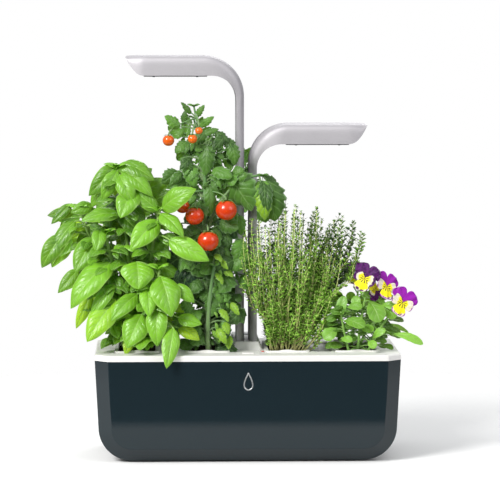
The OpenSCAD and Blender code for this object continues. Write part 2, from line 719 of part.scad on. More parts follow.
// Basil: points from the middle of its pod at soil level.
basil_stems = [
    [[6, -34, 0], [10, -40, 90], [24, -54, 152], 2.2, 1.3],
    [[-4, -30, 0], [-6, -34, 110], [-20, -42, 196], 2.2, 1.2],
    [[-12, -26, 0], [-30, -26, 70], [-60, -26, 152], 2.2, 1.1],
    [[-10, -34, 0], [-20, -42, 60], [-32, -44, 128], 2, 1.2],
    [[8, -44, 0], [12, -58, 40], [24, -66, 92], 2, 1.1]];
basil_rows = [
    [0, [27, -68, 156], [62, -84, 177], 24], [0, [25, -66, 150], [49, -86, 128], 18],
    [0, [22, -60, 143], [-6, -80, 114], 24], [0, [22, -58, 153], [-4, -52, 174], 16],
    [0, [34, -76, 124], [75, -88, 103], 22], [4, [0, -66, 100], [2, -86, 74], 34],
    [1, [-21, -44, 198], [8, -50, 193], 14], [1, [-23, -40, 198], [-46, -46, 174], 16],
    [1, [-15, -46, 195], [17, -60, 168], 18], [1, [-29, -34, 183], [-48, -36, 155], 16],
    [1, [-2, -48, 175], [-17, -72, 147], 24], [1, [-18, -46, 149], [-58, -60, 142], 18],
    [2, [-46, -30, 157], [-69, -38, 150], 14], [2, [-69, -22, 158], [-90, -26, 137], 11],
    [2, [-65, -28, 140], [-91, -36, 104], 18], [2, [-43, -34, 124], [-65, -50, 88], 25],
    [2, [-62, -28, 89], [-83, -36, 65], 9], [3, [-38, -44, 134], [-42, -62, 110], 15],
    [3, [-28, -50, 98], [-69, -68, 52], 30], [3, [-24, -56, 76], [-49, -66, 40], 15],
    [3, [-22, -56, 60], [-52, -76, 18], 27], [4, [1, -60, 66], [-27, -78, 40], 18],
    [4, [11, -70, 74], [13, -90, 45], 18], [4, [25, -70, 85], [36, -90, 45], 31],
    [4, [40, -68, 76], [60, -74, 58], 14], [4, [5, -66, 45], [-10, -82, 12], 27],
    [4, [21, -72, 56], [21, -88, 14], 22], [4, [38, -80, 32], [31, -98, -8], 18],
    [4, [43, -68, 42], [68, -72, 35], 16], [4, [44, -60, 30], [66, -64, 18], 13],
    [3, [-25, -50, 32], [-19, -60, 19], 11], [2, [-40, -10, 110], [-66, -6, 88], 20],
    [1, [-24, -16, 160], [-46, -8, 148], 18], [3, [-20, -18, 96], [-2, -10, 112], 20],
    [1, [-8, -14, 130], [12, -4, 124], 20]];

// Tomato: points from the middle of its pod at soil level.
tomato_stems = [
    [[2, -32, 0], [-4, -56, 100], [-2, -50, 212], 3.2, 1.7],
    [[-1, -50, 150], [-4, -50, 215], [-14, -48, 262], 1.8, 0.9],
    [[-1, -52, 130], [20, -50, 190], [58, -49, 189], 1.7, 1.1]];
tomato_rows = [
    [1, [-28, -50, 240], [-44, -54, 252], 13], [1, [-25, -48, 244], [-23, -50, 257], 8],
    [1, [-21, -50, 225], [-34, -55, 214], 14], [0, [-2, -48, 236], [-12, -51, 220], 12],
    [0, [0, -54, 221], [-2, -59, 191], 17], [0, [9, -50, 235], [23, -52, 224], 10],
    [0, [24, -48, 225], [29, -53, 200], 14], [2, [17, -50, 187], [46, -56, 152], 30],
    [2, [57, -48, 183], [72, -53, 141], 26], [0, [3, -56, 180], [3, -60, 147], 13],
    [0, [-19, -50, 201], [-14, -57, 178], 16], [0, [-31, -48, 194], [-47, -53, 181], 16],
    [2, [34, -42, 147], [35, -46, 126], 12], [0, [6, -50, 92], [-13, -54, 94], 10],
    [0, [-8, -50, 80], [-19, -56, 66], 16], [0, [15, -50, 76], [14, -56, 55], 18],
    [0, [5, -56, 63], [4, -60, 42], 15], [0, [-3, -50, 22], [-18, -56, 12], 14],
    [0, [18, -50, 40], [18, -56, 15], 12], [0, [27, -40, 62], [27, -42, 36], 15],
    [0, [33, -40, 112], [33, -44, 89], 11], [0, [19, -46, 126], [22, -50, 108], 12],
    [0, [-12, -46, 140], [-20, -50, 118], 14], [0, [-14, -46, 112], [-26, -50, 98], 12]];
// Fruit: [centre, radius].
tomato_fruits = [[[-40.5, -52, 226], 6.2], [[-15.5, -62, 228], 5], [[-9, -72, 237], 4],
    [[-13.5, -66, 148], 10], [[19.5, -66, 154], 11.3], [[-26, -52, 157], 7.6], [[0.5, -70, 122], 11.2],
    [[-8, 64, 140], 10], [[14, 61, 116], 10.5], [[-16, 60, 190], 6]];

// Thyme: a fan of sprigs in three rows, each [root, bend, tip].
thyme_count = 39;
function thyme_sprig(i) =
    let (row = i % 3, a = (floor(i / 3) + 0.5) / (thyme_count / 3),
        x = (row == 1 ? -20 + 98 * a : -36 + 112 * a) + 6 * (chance(i, 2) - 0.5),
        back_in = max(0, min(1, (x - 8) / 26)),
        row_y = row == 0 ? -62 : row == 1 ? 40 * (chance(i, 3) - 0.5) : 60,
        y = row_y * (1 - back_in) + back_in * 52 * (chance(i, 4) - 0.5),
        z = (104 + 52 * pow(sin(180 * (0.12 + 0.76 * a)), 0.8) - 14 * a) * (0.74 + 0.26 * chance(i, 6)),
        root = [26 * (a - 0.5) + 4 * (chance(i, 5) - 0.5),
            row == 1 ? row_y : sign(row_y) * (45 + 2 * chance(i, 7)), 0])
    [root, [root[0] * 0.6 + x * 0.4, row_y, z * 0.55], [x, y, z]];

// Viola: points from the middle of its pod at soil level.
viola_stems = [
    [[0, -46, 0], [2, -50, 30], [8, -52, 62], 1.6, 0.9],
    [[-8, -46, 0], [-14, -48, 20], [-18, -50, 46], 1.5, 0.9],
    [[10, -46, 0], [20, -50, 24], [36, -52, 46], 1.5, 0.9]];
viola_rows = [
    [1, [-18, -46, 37], [-15, -48, 62], 11], [1, [-11, -50, 50], [4, -58, 52], 10],
    [0, [12, -56, 57], [22, -72, 38], 19], [2, [25, -54, 53], [42, -62, 52], 9],
    [1, [-14, -56, 37], [5, -74, 33], 15], [0, [2, -50, 67], [15, -58, 62], 8],
    [1, [-18, -58, 18], [-7, -66, 17], 8], [0, [11, -60, 16], [17, -70, 10], 9],
    [2, [15, -58, 18], [27, -66, 29], 9], [2, [36, -52, 22], [68, -62, 14], 9],
    [1, [-21, -48, 27], [-36, -54, 18], 14], [2, [29, -52, 50], [38, -62, 40], 13],
    [0, [0, -46, 44], [-2, -44, 62], 10], [0, [5, -50, 30], [14, -62, 26], 12]];
// Flowers: [middle, the way it looks, radius, stem it grows from].
viola_blooms = [[[5, -66, 84], [-0.25, -1, 0.15], 14, 0], [[27, -62, 75], [0.75, -0.65, 0.2], 12.5, 0],
    [[45, -64, 56], [0.35, -0.95, 0.12], 14, 2], [[4, 62, 76], [0.1, 1, 0.2], 13, 0]];
petal_points = 30;

module at_pod(k) {
    translate([pod_xs[k], 0, soil_z]) children();
}

module basil_plant() {
    color([0.35, 0.62, 0.16]) at_pod(0) bush(basil_stems, basil_rows, -0.22, 0.1, 1);
}

module tomato_plant() {
    color([0.2, 0.4, 0.2]) at_pod(1) {
        bush(tomato_stems, tomato_rows, -0.2, 0.08, 0.8);
        for (f = tomato_fruits) let (s = tomato_stems[f[0][2] > 180 ? 1 : 0])
            calyx(f[0] + [0, 0, f[1] + 0.3], f[0][1] < 0 ? s : stem_behind(s), f[1] * 0.5);
    }
}

// The green cap of a fruit, with its stalk up to the stem.
module calyx(p, s, r) {
    bend = p + [0, 0, 5];
    hull() {
        translate(p) cylinder(h = 0.8, r = r, $fn = 5);
        translate(bend) cylinder(h = 0.8, r = 0.9, $fn = 5);
    }
    leaf(bend + [0, 0, 0.4], bend * 0.5 + grow_point(s, bend + [0, 0, 12]) * 0.5, grow_point(s,
        bend + [0, 0, 12]),
        1.6, [0, 0, 1], 0, 0, 0.8, 1.6);
}

module tomato_fruit() {
    color([0.85, 0.16, 0.05]) at_pod(1) for (f = tomato_fruits) translate(f[0]) sphere(f[1]);
}

// A sprig stands for a thin stem with its sleeve of tiny leaves.
module sprig(s) {
    profile = [[0, 0.7], [0.3, 0.9], [0.4, 2.9], [0.85, 2.9], [1, 1]];
    pts = [for (p = profile, k = [0:3]) bezier(s, p[0]) + p[1] * [cos(90 * k), -sin(90 * k), 0]];
    polyhedron(points = pts, faces = loft_faces(len(profile), 4));
}

module thyme_plant() {
    color([0.45, 0.58, 0.3]) at_pod(2) {
        for (i = [0:thyme_count - 1]) sprig(thyme_sprig(i));
        for (i = [1:3:thyme_count - 1]) translate(thyme_sprig(i)[2] - [0, 0, 0.7]) hull() {
            cylinder(h = 0.5, r = 1.8, $fn = 4);
            translate([0, 0, 2]) cylinder(h = 0.5, r = 0.6, $fn = 4);
        }
    }
}

module viola_plant() {
    color([0.3, 0.55, 0.2]) at_pod(3) {
        bush(viola_stems, viola_rows, -0.1, 0.12, 0.7);
        for (f = viola_blooms) let (s = f[0][1] < 0 ? viola_stems[f[3]] : stem_behind(viola_stems[f[3]]),
            back = f[0] - unit(f[1]) * 2.6) {
            leaf(s[2] - [0, 0, 2], s[2] * 0.5 + back * 0.5 + [0, 0, 3], back, 1.5, [0, 0, 1], 0, 0,
                0.7, 1.5);
            hull() {
                translate(back) sphere(1.5, $fn = 6);
                translate(back + unit(f[1]) * 0.8) sphere(1.2, $fn = 6);
            }
        }
    }
}

// One flower: five petals round a domed middle, as one thin scalloped shell.
module bloom(f) {
    n = unit(f[1]);
    side = unit(cross(n, [0, 0, 1]));
    up = cross(side, n);
    rim = [for (i = [0:petal_points - 1]) let (a = 360 * i / petal_points, lobe = abs(sin(2.5 * a + 90)))
        f[2] * (0.62 + 0.38 * pow(lobe, 0.6)) * (side * sin(a) + up * cos(a)) + n * 1.6 * sin(5 * a)];
    pts = concat([for (r = rim) f[0] + r + n * 0.5], [for (r = rim) f[0] + r - n * 0.3],
        [f[0] + n * 1.4, f[0] - n * 0.7]);
    m = petal_points;
    polyhedron(points = pts, faces = concat(
        [for (i = [0:m - 1]) [2 * m, (i + 1) % m, i]],
        [for (i = [0:m - 1]) [2 * m + 1, m + i, m + (i + 1) % m]],
        [for (i = [0:m - 1]) let (j = (i + 1) % m) each [[i, j, m + j], [i, m + j, m + i]]]));
}

module viola_flowers() {
    color([0.4, 0.15, 0.55]) at_pod(3) for (f = viola_blooms) bloom(f);
}

// ---------- nodes ----------

planter_tank();
rubber_foot();
top_tray();
lamp_base();
base_screws();
mast_guide();
mast_well();
friction_pad(-1);  // left_friction_pad
friction_pad(1);  // right_friction_pad
control_box();
control_board();
power_inlet();
light_button();
refill_flap();
flap_hinge_pin();
level_float();
level_rod();
lamp_arm(-1);  // left_lamp_arm
led_board(-1);  // left_led_board
leds(-1);  // left_leds
lens(-1);  // left_lens
bezel(-1);  // left_bezel
bezel_screws(-1);  // left_bezel_screws
mast_foot(-1);  // left_mast_foot
lamp_arm(1);  // right_lamp_arm
led_board(1);  // right_led_board
leds(1);  // right_leds
lens(1);  // right_lens
bezel(1);  // right_bezel
bezel_screws(1);  // right_bezel_screws
mast_foot(1);  // right_mast_foot
pod_cup(pod_xs[0]);  // basil_pod
substrate(pod_xs[0]);  // basil_substrate
wick(pod_xs[0]);  // basil_wick
basil_plant();
pod_cup(pod_xs[1]);  // tomato_pod
substrate(pod_xs[1]);  // tomato_substrate
wick(pod_xs[1]);  // tomato_wick
tomato_plant();
tomato_fruit();
pod_cup(pod_xs[2]);  // thyme_pod
substrate(pod_xs[2]);  // thyme_substrate
wick(pod_xs[2]);  // thyme_wick
thyme_plant();
pod_cup(pod_xs[3]);  // viola_pod
substrate(pod_xs[3]);  // viola_substrate
wick(pod_xs[3]);  // viola_wick
viola_plant();
viola_flowers();
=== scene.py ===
from math import copysign, cos, exp, pi, radians, sin, sqrt, tan
import bmesh
import bpy
import numpy as np
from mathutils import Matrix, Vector, noise


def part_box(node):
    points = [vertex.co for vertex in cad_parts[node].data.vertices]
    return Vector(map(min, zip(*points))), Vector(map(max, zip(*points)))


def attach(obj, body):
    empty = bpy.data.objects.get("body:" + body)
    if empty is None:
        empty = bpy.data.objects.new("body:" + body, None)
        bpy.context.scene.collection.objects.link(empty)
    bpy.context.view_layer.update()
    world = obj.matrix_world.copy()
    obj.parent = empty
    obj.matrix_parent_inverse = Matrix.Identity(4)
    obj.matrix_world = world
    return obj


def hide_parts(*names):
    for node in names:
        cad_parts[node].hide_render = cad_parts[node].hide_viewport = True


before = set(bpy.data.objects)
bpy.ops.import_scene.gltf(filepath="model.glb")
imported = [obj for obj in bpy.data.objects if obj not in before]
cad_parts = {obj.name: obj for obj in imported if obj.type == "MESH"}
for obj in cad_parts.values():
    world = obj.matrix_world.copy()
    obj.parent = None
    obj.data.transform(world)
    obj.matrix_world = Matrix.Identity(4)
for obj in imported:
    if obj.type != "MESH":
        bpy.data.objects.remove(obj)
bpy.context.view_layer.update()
rng = np.random.default_rng(7)
rand = rng.random
# The stage is given in metres; the lengths of the object itself are in millimetres and times MM.
MM = 0.001


# ---------- material helpers ----------

def new_material(name):
    m = bpy.data.materials.new(name)
    m.use_nodes = True
    t = m.node_tree
    t.nodes.clear()
    out = t.nodes.new("ShaderNodeOutputMaterial")
    p = t.nodes.new("ShaderNodeBsdfPrincipled")
    t.links.new(p.outputs[0], out.inputs["Surface"])
    return m, t, p, out


def put(node, socket, value):
    node.inputs[socket].default_value = value


def add(t, kind, **values):
    n = t.nodes.new(kind)
    for k, v in values.items():
        setattr(n, k, v)
    return n


def math_node(t, op, a, b=None):
    n = add(t, "ShaderNodeMath", operation=op)
    for i, v in enumerate((a, b)):
        if v is None:
            continue
        if hasattr(v, "node"):
            t.links.new(v, n.inputs[i])
        else:
            n.inputs[i].default_value = v
    return n.outputs[0]


def times(t, a, b):
    return math_node(t, "MULTIPLY", a, b)


def plus(t, a, b):
    return math_node(t, "ADD", a, b)


def minus(t, a, b):
    return math_node(t, "SUBTRACT", a, b)


def absolute(t, a):
    return math_node(t, "ABSOLUTE", a)


def mix_colour(t, fac, a, b):
    n = add(t, "ShaderNodeMix", data_type="RGBA")
    for i, v in ((0, fac), (6, a), (7, b)):
        if hasattr(v, "node"):
            t.links.new(v, n.inputs[i])
        else:
            n.inputs[i].default_value = v if i == 0 else (*v, 1)
    return n.outputs[2]


def object_coords(t):
    return add(t, "ShaderNodeTexCoord").outputs["Object"]


def noise_tex(t, vec, scale, detail=3, rough=0.55):
    n = add(t, "ShaderNodeTexNoise")
    t.links.new(vec, n.inputs["Vector"])
    put(n, "Scale", scale)
    put(n, "Detail", detail)
    put(n, "Roughness", rough)
    return n.outputs[0]


def remap(t, v, a, b, c=0, d=1):
    n = add(t, "ShaderNodeMapRange", clamp=True)
    t.links.new(v, n.inputs[0])
    for i, x in enumerate((a, b, c, d)):
        n.inputs[i + 1].default_value = x
    return n.outputs[0]


def speckle(t, vec, scale, detail, low, high):
    """Soft patches between low and high."""
    return remap(t, noise_tex(t, vec, scale, detail), 0.3, 0.7, low, high)


def paint(t, p, colour):
    t.links.new(colour, p.inputs["Base Color"])


def polish(t, p, *patches):
    t.links.new(speckle(t, *patches), p.inputs["Roughness"])


def leaf_marks(t):
    """The three values that a plant mesh keeps at each point: across, along and the leaf's own key."""
    place = add(t, "ShaderNodeSeparateXYZ")
    t.links.new(add(t, "ShaderNodeAttribute", attribute_name="leaf").outputs["Vector"], place.inputs[0])
    return place.outputs


def bump(t, p, height, strength, distance):
    n = add(t, "ShaderNodeBump")
    t.links.new(height, n.inputs["Height"])
    put(n, "Strength", strength)
    put(n, "Distance", distance)
    t.links.new(n.outputs[0], p.inputs["Normal"])


def moulded(name, colour, rough, metallic=0.0, grain=1400, grain_depth=0.02, spread=0.06, spec=0.5,
            rough_spread=0.06):
    """A moulded, painted or cast surface: fine grain, faint patches of colour and uneven polish."""
    m, t, p, out = new_material(name)
    vec = object_coords(t)
    patch = noise_tex(t, vec, 38, 4)
    fine = noise_tex(t, vec, grain, 2)
    dark = tuple(c * (1 - spread) for c in colour)
    light = tuple(min(1, c * (1 + spread)) for c in colour)
    paint(t, p, mix_colour(t, patch, dark, light))
    polish(t, p, vec, 90, 3, rough - rough_spread, rough + rough_spread)
    put(p, "Metallic", metallic)
    put(p, "Specular IOR Level", spec)
    bump(t, p, fine, grain_depth, 0.0004)
    return m


def give(node, material):
    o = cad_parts[node]
    o.data.materials.clear()
    o.data.materials.append(material)
    return o


def soften(o, width, angle=35, segments=2):
    b = o.modifiers.new("edge", "BEVEL")
    b.width = width
    b.segments = segments
    b.limit_method = "ANGLE"
    b.angle_limit = radians(angle)
    b.harden_normals = False


def smooth(mesh, angle=35):
    bm = bmesh.new()
    bm.from_mesh(mesh)
    for f in bm.faces:
        f.smooth = True
    limit = radians(angle)
    for e in bm.edges:
        e.smooth = len(e.link_faces) == 2 and e.calc_face_angle(0) < limit
    bm.to_mesh(mesh)
    bm.free()


def new_object(name, verts, faces, material):
    mesh = bpy.data.meshes.new(name)
    mesh.from_pydata([tuple(v) for v in verts], [], [tuple(f) for f in faces])
    mesh.update()
    o = bpy.data.objects.new(name, mesh)
    bpy.context.scene.collection.objects.link(o)
    if material:
        mesh.materials.append(material)
    return o


def apply_modifiers(o):
    deps = bpy.context.evaluated_depsgraph_get()
    mesh = bpy.data.meshes.new_from_object(o.evaluated_get(deps))
    old = o.data
    o.modifiers.clear()
    o.data = mesh
    mesh.name = o.name
    bpy.data.meshes.remove(old)


def mend_normals(mesh, merge=0):
    bm = bmesh.new()
    bm.from_mesh(mesh)
    if merge:
        bmesh.ops.remove_doubles(bm, verts=bm.verts, dist=merge)
    bmesh.ops.recalc_face_normals(bm, faces=bm.faces)
    bm.to_mesh(mesh)
    bm.free()


def subtract(o, cutters):
    for c in cutters:
        b = o.modifiers.new("cut", "BOOLEAN")
        b.operation = "DIFFERENCE"
        b.solver = "EXACT"
        b.object = c
    apply_modifiers(o)
    for c in cutters:
        bpy.data.objects.remove(c)


# ---------- camera, world, lights and floor ----------

# fitted to the planter's corners, the lamp tips and the masts in the photograph; angles in degrees
CAMERA_LENS, CAMERA_PLACE, CAMERA_DOWN, CAMERA_TURN = 215.06, (-0.0975, -3.170, 0.4694), 4.55, -1.84
cam_data = bpy.data.cameras.new("camera")
cam_data.sensor_width = 36
cam_data.lens = CAMERA_LENS
camera = bpy.data.objects.new("camera", cam_data)
camera.location = CAMERA_PLACE
camera.rotation_euler = (radians(90 - CAMERA_DOWN), 0, radians(CAMERA_TURN))
bpy.context.scene.collection.objects.link(camera)
bpy.context.scene.camera = camera
bpy.context.scene.view_settings.view_transform = "Standard"

# The camera sees plain white; light and reflections get a room that is dark low down in front.
ROOM_LEVEL, ROOM_DARK = 0.63, 0.72
world = bpy.data.worlds.new("studio")
bpy.context.scene.world = world
world.use_nodes = True
wt = world.node_tree
wt.nodes.clear()
w_out = add(wt, "ShaderNodeOutputWorld")
sep = add(wt, "ShaderNodeSeparateXYZ")
wt.links.new(add(wt, "ShaderNodeTexCoord").outputs["Generated"], sep.inputs[0])
front = remap(wt, sep.outputs[1], -0.72, -0.9)
low = remap(wt, sep.outputs[2], 0.16, 0.02)
above = remap(wt, sep.outputs[2], -0.1, 0.5, 0.36, 1.0)
dark = times(wt, front, low)
level = times(wt, above, minus(wt, 1.0, times(wt, dark, ROOM_DARK)))
bg_light = add(wt, "ShaderNodeBackground")
put(bg_light, "Color", (0.97, 0.985, 1.0, 1))
wt.links.new(times(wt, level, ROOM_LEVEL), bg_light.inputs["Strength"])
bg_camera = add(wt, "ShaderNodeBackground")
put(bg_camera, "Color", (1, 1, 1, 1))
w_mix = add(wt, "ShaderNodeMixShader")
wt.links.new(add(wt, "ShaderNodeLightPath").outputs["Is Camera Ray"], w_mix.inputs[0])
wt.links.new(bg_light.outputs[0], w_mix.inputs[1])
wt.links.new(bg_camera.outputs[0], w_mix.inputs[2])
wt.links.new(w_mix.outputs[0], w_out.inputs[0])


def area_light(name, place, target, size, power, colour=(1, 1, 1)):
    d = bpy.data.lights.new(name, "AREA")
    d.shape = "DISK"
    d.size = size
    d.energy = power
    d.color = colour
    o = bpy.data.objects.new(name, d)
    o.location = place
    o.rotation_euler = (Vector(target) - Vector(place)).to_track_quat("-Z", "Y").to_euler()
    bpy.context.scene.collection.objects.link(o)


PLANTS_MIDDLE = (0, 0, 0.2)
area_light("key", (-1.5, -1.7, 1.7), PLANTS_MIDDLE, 1.1, 82, (1, 0.99, 0.97))
area_light("fill", (1.6, -1.3, 1.1), PLANTS_MIDDLE, 1.3, 12)
area_light("back", (0.4, 1.8, 1.5), PLANTS_MIDDLE, 1.2, 12)

# The floor is darker in reflections, and fades into the white backdrop: for the camera sooner than for
# light, and along its front edge where the tank mirrors it.
FLOOR_FRONT, FLOOR_REACH = -0.325, 1.2
m, t, p, out = new_material("floor")
vec = object_coords(t)
rays = add(t, "ShaderNodeLightPath")
mirrored, seen = rays.outputs["Is Glossy Ray"], rays.outputs["Is Camera Ray"]
paint(t, p, mix_colour(t, mirrored, (0.93, 0.93, 0.93), (0.52, 0.52, 0.52)))
put(p, "Roughness", 0.9)
put(p, "Specular IOR Level", 0.1)
clear = add(t, "ShaderNodeBsdfTransparent")
place = add(t, "ShaderNodeSeparateXYZ")
t.links.new(vec, place.inputs[0])
front_edge = times(t, mirrored, remap(t, place.outputs[1], -0.322, -0.272, 1, 0))
dist = add(t, "ShaderNodeVectorMath", operation="LENGTH")
t.links.new(vec, dist.inputs[0])
camera_fade = times(t, seen, remap(t, dist.outputs["Value"], 0.36, 0.75))
ray_fade = remap(t, dist.outputs["Value"], 0.55, 1.0)
fade = math_node(t, "MAXIMUM", ray_fade, math_node(t, "MAXIMUM", camera_fade, front_edge))
mix_floor = add(t, "ShaderNodeMixShader")
t.links.new(fade, mix_floor.inputs[0])
t.links.new(p.outputs[0], mix_floor.inputs[1])
t.links.new(clear.outputs[0], mix_floor.inputs[2])
t.links.new(mix_floor.outputs[0], out.inputs["Surface"])
corners = [(-FLOOR_REACH, FLOOR_FRONT, 0), (FLOOR_REACH, FLOOR_FRONT, 0), (FLOOR_REACH, FLOOR_REACH, 0),
           (-FLOOR_REACH, FLOOR_REACH, 0)]
floor = new_object("floor", corners, [(0, 1, 2, 3)], m)

# ---------- materials of the hard parts ----------

tank_black = moulded("tank_gloss", (0.0085, 0.0175, 0.0225), 0.06, spread=0.05, grain=500, grain_depth=0.002,
                     spec=0.66, rough_spread=0.015)
white_satin = moulded("white_satin", (0.76, 0.75, 0.73), 0.38, spread=0.015, grain=1800, grain_depth=0.05)
base_satin = moulded("base_satin", (0.78, 0.775, 0.76), 0.42, spread=0.02, grain=1800, grain_depth=0.05)
lamp_silver = moulded("lamp_silver", (0.495, 0.48, 0.505), 0.6, metallic=0.5, spread=0.03, grain=4200,
                      grain_depth=0.12, rough_spread=0.05)
steel = moulded("steel", (0.6, 0.6, 0.62), 0.28, metallic=1.0, grain=900, grain_depth=0.05)
rubber = moulded("rubber", (0.035, 0.035, 0.036), 0.8, grain=2600, grain_depth=0.3)
guide_grey = moulded("guide_grey", (0.42, 0.43, 0.45), 0.5, grain=2000, grain_depth=0.08)
inner_grey = moulded("inner_grey", (0.7, 0.71, 0.72), 0.5, grain=2000, grain_depth=0.08)
board_green = moulded("board_green", (0.03, 0.2, 0.07), 0.35, grain=700, grain_depth=0.1, spread=0.15)
inlet_black = moulded("inlet_black", (0.03, 0.03, 0.03), 0.4, grain=1500)
button_grey = moulded("button_grey", (0.5, 0.51, 0.54), 0.25, grain=2500, metallic=0.3)
foam = moulded("float_foam", (0.84, 0.84, 0.8), 0.85, grain=900, grain_depth=0.5)
rod_red = moulded("rod_red", (0.62, 0.05, 0.03), 0.2, grain=900)
bezel_dark = moulded("bezel_dark", (0.06, 0.06, 0.065), 0.45, grain=2200, grain_depth=0.1)
cap_dark = moulded("cap_dark", (0.08, 0.08, 0.09), 0.6, grain=2200, grain_depth=0.1)
led_white = moulded("led_board_white", (0.8, 0.82, 0.8), 0.4, grain=1200)
felt = moulded("felt", (0.7, 0.69, 0.64), 0.95, grain=3400, grain_depth=1.0, spread=0.12)

m, t, p, out = new_material("led_yellow")
vec = object_coords(t)
paint(t, p, mix_colour(t, noise_tex(t, vec, 900), (0.85, 0.62, 0.12), (0.95, 0.8, 0.3)))
put(p, "Roughness", 0.2)
put(p, "Subsurface Weight", 0.2)
led_yellow = m

m, t, p, out = new_material("lens_frost")
vec = object_coords(t)
paint(t, p, mix_colour(t, noise_tex(t, vec, 300), (0.86, 0.88, 0.9), (0.95, 0.96, 0.98)))
put(p, "Transmission Weight", 0.75)
put(p, "IOR", 1.49)
polish(t, p, vec, 2500, 3, 0.25, 0.4)
bump(t, p, noise_tex(t, vec, 2600, 2), 0.25, 0.0003)
lens_frost = m

PLAIN = {"rubber_foot": rubber, "top_tray": white_satin, "lamp_base": base_satin, "base_screws": steel,
         "mast_guide": guide_grey, "mast_well": inner_grey, "left_friction_pad": rubber,
         "right_friction_pad": rubber, "control_box": inner_grey, "control_board": board_green,
         "power_inlet": inlet_black, "light_button": button_grey, "refill_flap": white_satin,
         "flap_hinge_pin": steel, "level_float": foam, "level_rod": rod_red}
for side in ("left", "right"):
    PLAIN.update({side + "_led_board": led_white, side + "_leds": led_yellow, side + "_lens": lens_frost,
                  side + "_bezel": bezel_dark, side + "_bezel_screws": steel, side + "_mast_foot": cap_dark})
for name in ("basil", "tomato", "thyme", "viola"):
    PLAIN.update({name + "_pod": white_satin, name + "_wick": felt})
for node, material in PLAIN.items():
    give(node, material)
for node, width in (("top_tray", 0.35), ("lamp_base", 0.7), ("refill_flap", 0.3), ("light_button", 0.4),
                    ("mast_guide", 0.25), ("basil_pod", 0.35), ("tomato_pod", 0.35), ("thyme_pod", 0.35),
                    ("viola_pod", 0.35)):
    soften(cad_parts[node], width * MM)

# ---------- planter ----------

RIM_Z, PLANTER_W, PLANTER_D, WALL = 107.5, 320, 172, 2.6
END_DRAFT, FACE_DRAFT = radians(2.9), radians(1.6)
CORNER_R, BEVEL, FOOT_LIFT = 35, 14, 1.5


# The tub as in the source: its sides as seen from the front, inset by the wall and set back by the bevel.
def end_outline(inset, setback, top, steps=28):
    r = CORNER_R - inset
    base = RIM_Z - (RIM_Z - FOOT_LIFT - inset + setback * sin(FACE_DRAFT)) / cos(FACE_DRAFT)
    cx = PLANTER_W / 2 - (inset + r) / cos(END_DRAFT) - (RIM_Z - base - r) * tan(END_DRAFT)
    top_x = PLANTER_W / 2 - inset / cos(END_DRAFT) + (top - RIM_Z) * tan(END_DRAFT)
    pts = []
    for i in range(steps + 1):
        a = radians(-90) + (radians(90) - END_DRAFT) * i / steps
        pts.append((cx + r * cos(a), base + r + r * sin(a)))
    pts.append((top_x, top))
    return pts + [(-x, z) for x, z in reversed(pts)]


def tub(name, inset, top):
    share = sqrt(2) - 1
    bm = bmesh.new()
    for s in (-1, 1):
        for a, b in ((inset, BEVEL + inset * share), (BEVEL + inset * share, inset)):
            for x, z in end_outline(a, b, top):
                y, dz = -s * b, z - RIM_Z
                c, d = cos(-s * FACE_DRAFT), sin(-s * FACE_DRAFT)
                turned = s * PLANTER_D / 2 + y * c - dz * d
                bm.verts.new((x * MM, turned * MM, (RIM_Z + y * d + dz * c) * MM))
    hull = bmesh.ops.convex_hull(bm, input=bm.verts)
    inside = [v for v in hull["geom_interior"] if isinstance(v, bmesh.types.BMVert)]
    bmesh.ops.delete(bm, geom=inside, context="VERTS")
    if inset == 0:
        cut = bmesh.ops.bisect_plane(bm, geom=bm.verts[:] + bm.edges[:] + bm.faces[:],
                                     plane_co=(0, 0, RIM_Z * MM), plane_no=(0, 0, 1), clear_outer=True)
        rim = [e for e in cut["geom_cut"] if isinstance(e, bmesh.types.BMEdge)]
        bmesh.ops.contextual_create(bm, geom=rim)
    bmesh.ops.dissolve_limit(bm, angle_limit=radians(0.4), verts=bm.verts, edges=bm.edges)
    mesh = bpy.data.meshes.new(name)
    bm.to_mesh(mesh)
    bm.free()
    o = bpy.data.objects.new(name, mesh)
    bpy.context.scene.collection.objects.link(o)
    return o


planter = tub("planter_body", 0, RIM_Z + 2)
planter.data.materials.append(tank_black)
subtract(planter, [tub("inside", WALL, RIM_Z + 4)])
smooth(planter.data, 20)
soften(planter, 0.5 * MM, 25, 3)
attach(planter, "planter")
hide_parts("planter_tank")

# ---------- lamps ----------

MAST_IN, MAST_OUT, MAST_W, HEAD_W, HEAD_H = 2.3, 10.8, 50, 64, 21
LOW_Z, OUT_R, IN_R, TIP_X, TIP_L, MAST_Z = 352, 43, 26, 127.3, 20, 7.7
UNDER_Z, BEND_X, TRAVEL = LOW_Z - HEAD_H, MAST_IN + OUT_R, 72
POCKET_L, POCKET_W, POCKET_R, POCKET_H, POCKET_GAP = 60, 48, 4, 8, 2.4


def stations():
    """Sections of the lower lamp, from mast to tip: outer point, inner point and half width."""
    st = [((MAST_IN, z), (MAST_OUT, z), MAST_W / 2) for z in np.linspace(MAST_Z + 4, UNDER_Z - IN_R - 40, 6)]
    for a in np.radians(np.linspace(0, 90, 31)):
        w = MAST_W / 2 + (HEAD_W - MAST_W) / 2 * (1 - cos(2 * a)) / 2
        st.append(((BEND_X - OUT_R * cos(a), LOW_Z - OUT_R * (1 - sin(a))),
                   (MAST_OUT + IN_R * (1 - cos(a)), UNDER_Z - IN_R * (1 - sin(a))), w))
    for x in np.linspace(BEND_X + 8, TIP_X - TIP_L, 8):
        st.append(((x, LOW_Z), (x, UNDER_Z), HEAD_W / 2))
    for u in np.sin(np.linspace(0, pi / 2, 22))[1:]:
        x = TIP_X - TIP_L * (1 - u)
        w = HEAD_W / 2 - 7 * u * u
        st.append(((x, LOW_Z - 0.9 * u ** 6), (x, UNDER_Z + (HEAD_H - 0.9) * u ** 2.3 - 0.9 * u ** 6), w))
    return st


